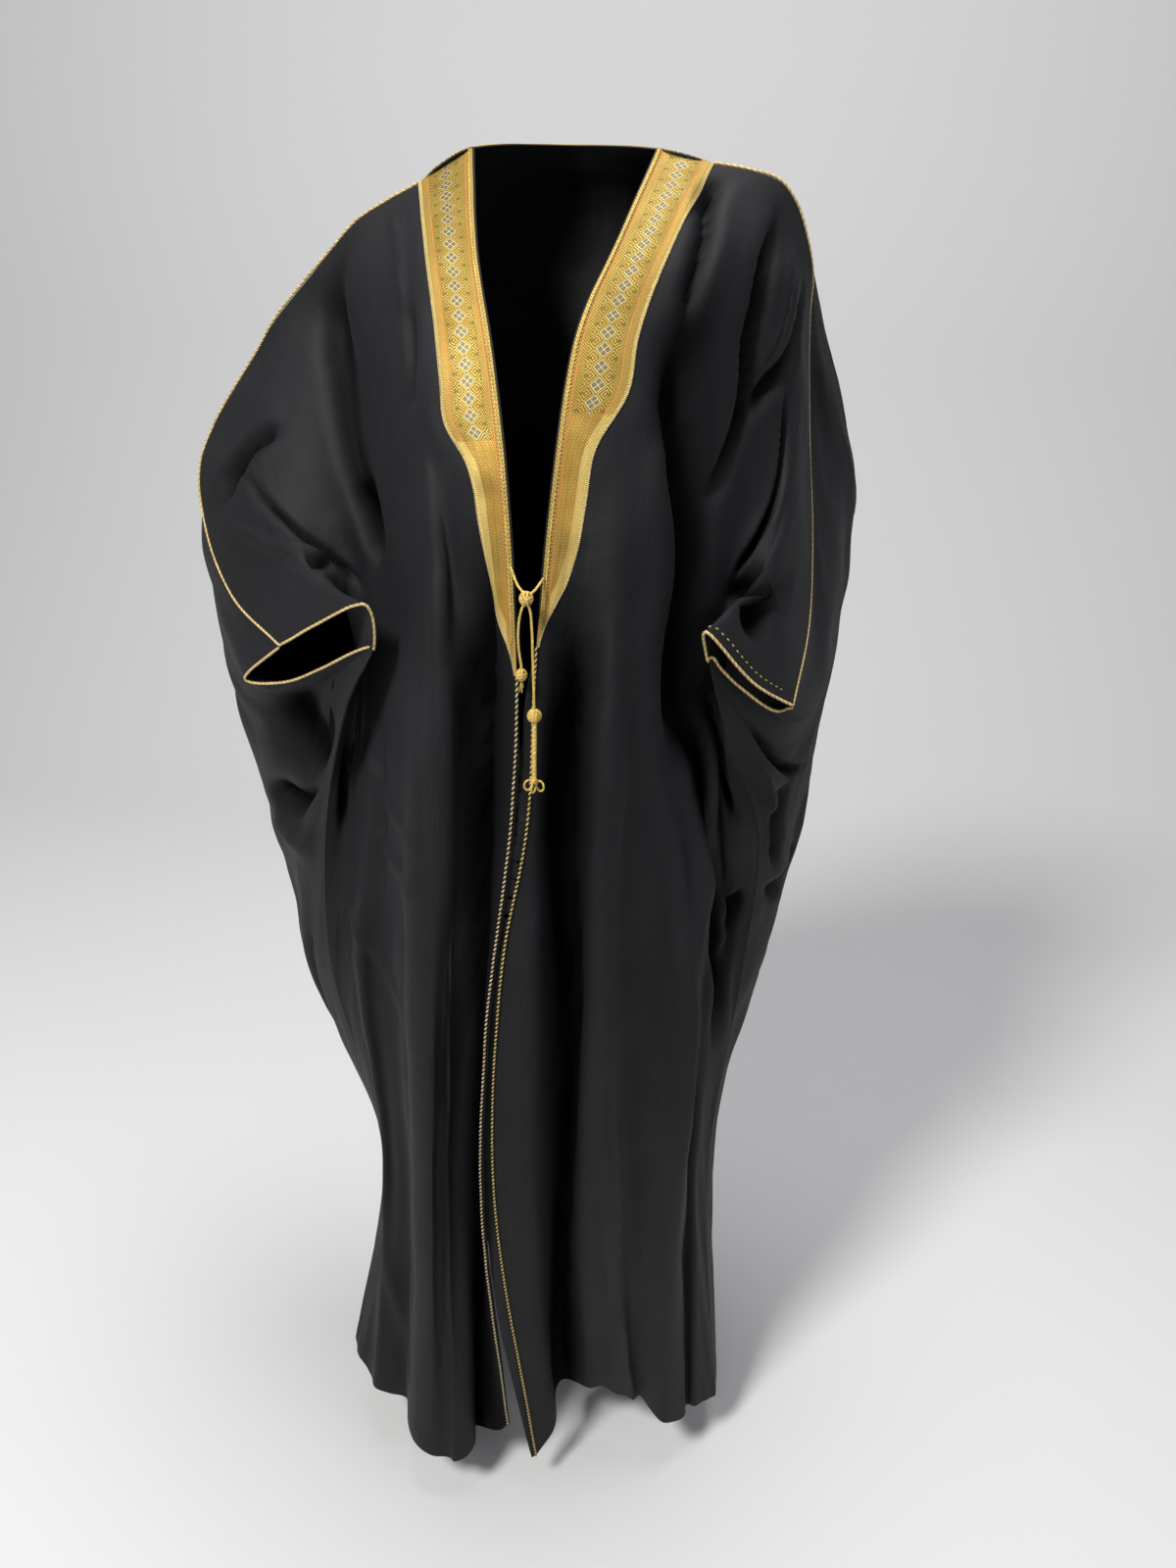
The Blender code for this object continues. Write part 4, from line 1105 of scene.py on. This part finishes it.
def stitches(name, g, n, r0, r1, col, gap, inset=.009):
    """A row of small gold stitches beside the cuff."""
    line = []
    for r in range(r0, r1):
        w = min(inset / np.linalg.norm(g[r, col] - g[r, col - 1]), 1.0)
        line.append(g[r, col] * (1 - w) + g[r, col - 1] * w + n[r, col] * (H + .0003))
    P, _ = even_path(np.array(line), gap)
    parts = []
    for p, t in zip(P[1:-1], np.gradient(P, axis=0)[1:-1]):
        t = unit(t)
        q = np.array([p - t * .0016, p - t * .0009, p + t * .0009, p + t * .0016])
        parts.append((*tube(q, np.array([.0002, .00055, .00055, .0002]), 5), 0))
    thread_piece(name, parts, [M_GOLD2])


stitches('stitches_cuff_left', gFL, nFL, 4, UNDER * FINE - 3, cuff_col, .0078)

# ---------------------------------------------------------------- the tie
KNOT = np.array([.0030, -.2290, -.3580])
KNOT_R = .0058
YK = -.2305            # the plane the tails hang in
TIE = [M_GOLD2, M_GOLD]


def start_on(G, Nn, z):
    """Point on a band's neck edge at height z, on top of the band."""
    r = int(np.argmin(np.abs(G[:, 0, 2] - z)))
    return G[r, 1] + Nn[r, 1] * (B1 + TIE_R)


sR = start_on(bR[1], bR[2], -.338)
sL = start_on(bL[1], bL[2], -.346)
# points down each tail: x, how far behind or before the plane, z
tail_r = [(-.0005, 0, -.3665), (-.0035, -.001, -.385), (-.0030, -.001, -.403), (-.0010, -.001, -.4185),
          (-.0008, -.001, -.4235)]
tail_l = [(.0062, 0, -.3665), (.0085, -.002, -.385), (.0095, -.0035, -.410), (.0105, -.0045, -.435),
          (.0110, -.005, -.4530), (.0112, -.005, -.4600), (.0112, -.0052, -.485), (.0110, -.0052, -.500),
          (.0110, -.005, -.5190)]


def hung(points):
    """Points of the tails from their distance to the plane they hang in."""
    return [np.array([x, YK + y, z]) for x, y, z in points]


def tie_route(start, tail):
    """From the band's edge to the knot at the neck, and down."""
    a = start * .5 + KNOT * .5 + np.array([0, -.003, -.0016])
    return smooth_path([start, a, KNOT + np.array([0, -.001, 0])] + hung(tail), 8)


def tie(name, path, nodes):
    """A tie cord as one piece."""
    return cord_piece(name, path, TIE_R, TIE_PITCH, TIE, nodes)


rR, rL = tie_route(sR, tail_r), tie_route(sL, tail_l)
tR = tie('tie_right', rR, ('tie_cord_right', 'tie_tail_right'))
tL = tie('tie_left', rL, ('tie_cord_left', 'tie_tail_left'))
knot = wound_knot('knot_neck', KNOT, KNOT_R + .0004, .0013, ('tie_knot',), 1.05, 2, 1)
end_at = (-.0008, YK - .001, -.4252)
knot_end = wound_knot('knot_end', end_at, .0052, .0012, ('tie_end_knot',), 1.15, 2, 2)
ball_at = (.0112, YK - .005, -.4608)
knot_ball = wound_knot('knot_ball', ball_at, .0064, .0012, ('tie_ball_knot',), 1.0, 3, 3)
braid_p = smooth_path(hung([(.0112, -.005, -.4655), (.0112, -.0052, -.485), (.0110, -.0052, -.500),
                            (.0110, -.005, -.5215)]), 8)
braid = cord_piece('braid', braid_p, .0024, .0120, TIE, ('tie_braid',), (0, 1, 0), 10, 7)


def loop(tag, x, y, turn):
    """One of the three small loops under the braid."""
    a = 2 * math.pi * np.arange(25) / 24
    big = .0042
    ring = np.stack([np.cos(a) * big * math.cos(turn), np.cos(a) * big * math.sin(turn),
                     np.sin(a) * big * 1.15], axis=1) + np.array([x, y, -.5275])
    node = 'tie_loop_' + tag
    return cord_piece('loop_' + tag, ring, .00115, .0048, TIE, (node,), (0, 1), 7, 5)


loops = [loop('a', .0060, YK - .005, .5), loop('b', .0113, YK - .010, 1.2), loop('c', .0165, YK - .005, 2.6)]
bind = wound_knot('loops_binding', (.0111, YK - .0055, -.5225), .0034, .0010, (), .8, 2, 4)
frays = []
rng = np.random.default_rng(12)
base = np.array([-.0008, YK - .001, -.4295])
for i in range(9):
    th = 2 * math.pi * i / 9
    tip = [math.cos(th) * rng.uniform(.001, .004), math.sin(th) * rng.uniform(.001, .003)]
    tip = np.array(tip + [-rng.uniform(.006, .012)])
    p = smooth_path([base, base + tip * .5 + np.array([0, 0, .001]), base + tip], 4)
    frays.append((*tube(p, .00028, 4), 0))
fray = thread_piece('frayed_end', frays, [M_GOLD2])

# ---------------------------------------------------------------- floor, backdrop, light and camera
FLOOR = -1.49
BEND, WALL_Y, TOP = 1.2, 1.6, 2.4    # the floor curves up into the backdrop
prof = [(-3.2, FLOOR), (WALL_Y, FLOOR)]
for i in range(1, 17):
    a = math.pi / 2 * i / 16
    prof.append((WALL_Y + BEND * math.sin(a), FLOOR + BEND * (1 - math.cos(a))))
prof.append((2.8, TOP))
me = bpy.data.meshes.new('backdrop')
me.from_pydata([(x, y, z) for y, z in prof for x in (-4.5, 4.5)], [],
               [(2 * i, 2 * i + 1, 2 * i + 3, 2 * i + 2) for i in range(len(prof) - 1)])
me.materials.append(plain_material('studio_white', (.66, .66, .665), .85, 2.0))
me.shade_smooth()
backdrop = bpy.data.objects.new('backdrop', me)
bpy.context.collection.objects.link(backdrop)


def area_light(name, loc, aim, size, power, colour=(1, 1, 1)):
    """A round soft light at loc, turned to aim."""
    light = bpy.data.lights.new(name, 'AREA')
    light.shape = 'DISK'
    light.size = size
    light.energy = power
    light.color = colour
    ob = bpy.data.objects.new(name, light)
    ob.location = loc
    ob.rotation_euler = (mathutils.Vector(aim) - mathutils.Vector(loc)).to_track_quat('-Z', 'Y').to_euler()
    bpy.context.collection.objects.link(ob)


area_light('key', (-1.35, -2.2, 2.1), (0, 0, -.55), .8, 165, (1, .985, .96))
area_light('fill', (2.4, -1.6, .6), (0, 0, -.7), 1.6, 15, (.95, .975, 1))
area_light('top', (.2, .2, 2.3), (0, 0, -.8), 1.6, 55)
world = bpy.data.worlds.new('studio')
bpy.context.scene.world = world
world.use_nodes = True
background = world.node_tree.nodes['Background']
background.inputs['Color'].default_value = (.93, .95, 1, 1)
background.inputs['Strength'].default_value = .18

SENSOR = 36
PITCH, ROLL, PAN = math.radians(23.5), math.radians(1.2), math.radians(1.6)
AROUND, DIST, HEIGHT = math.radians(8), 1.19, -.11    # where it stands: round the cloak, away, up
head = PAN - AROUND
fwd = np.array([math.sin(head) * math.cos(PITCH), math.cos(head) * math.cos(PITCH), -math.sin(PITCH)])
level = np.array([math.cos(head), -math.sin(head), 0])
up = np.cross(level, fwd)
right, up = math.cos(ROLL) * level + math.sin(ROLL) * up, -math.sin(ROLL) * level + math.cos(ROLL) * up
cam_data = bpy.data.cameras.new('camera')
cam_data.sensor_fit = 'AUTO'
cam_data.sensor_width = SENSOR
cam_data.lens = .7375 * SENSOR
cam = bpy.data.objects.new('camera', cam_data)
bpy.context.collection.objects.link(cam)
rot = mathutils.Matrix([list(row) for row in zip(right, up, -fwd)])
place = (DIST * math.sin(AROUND), -DIST * math.cos(AROUND), HEIGHT)
cam.matrix_world = mathutils.Matrix.Translation(place) @ rot.to_4x4()
bpy.context.scene.camera = cam
bpy.context.scene.view_settings.view_transform = 'Standard'

bpy.context.view_layer.update()
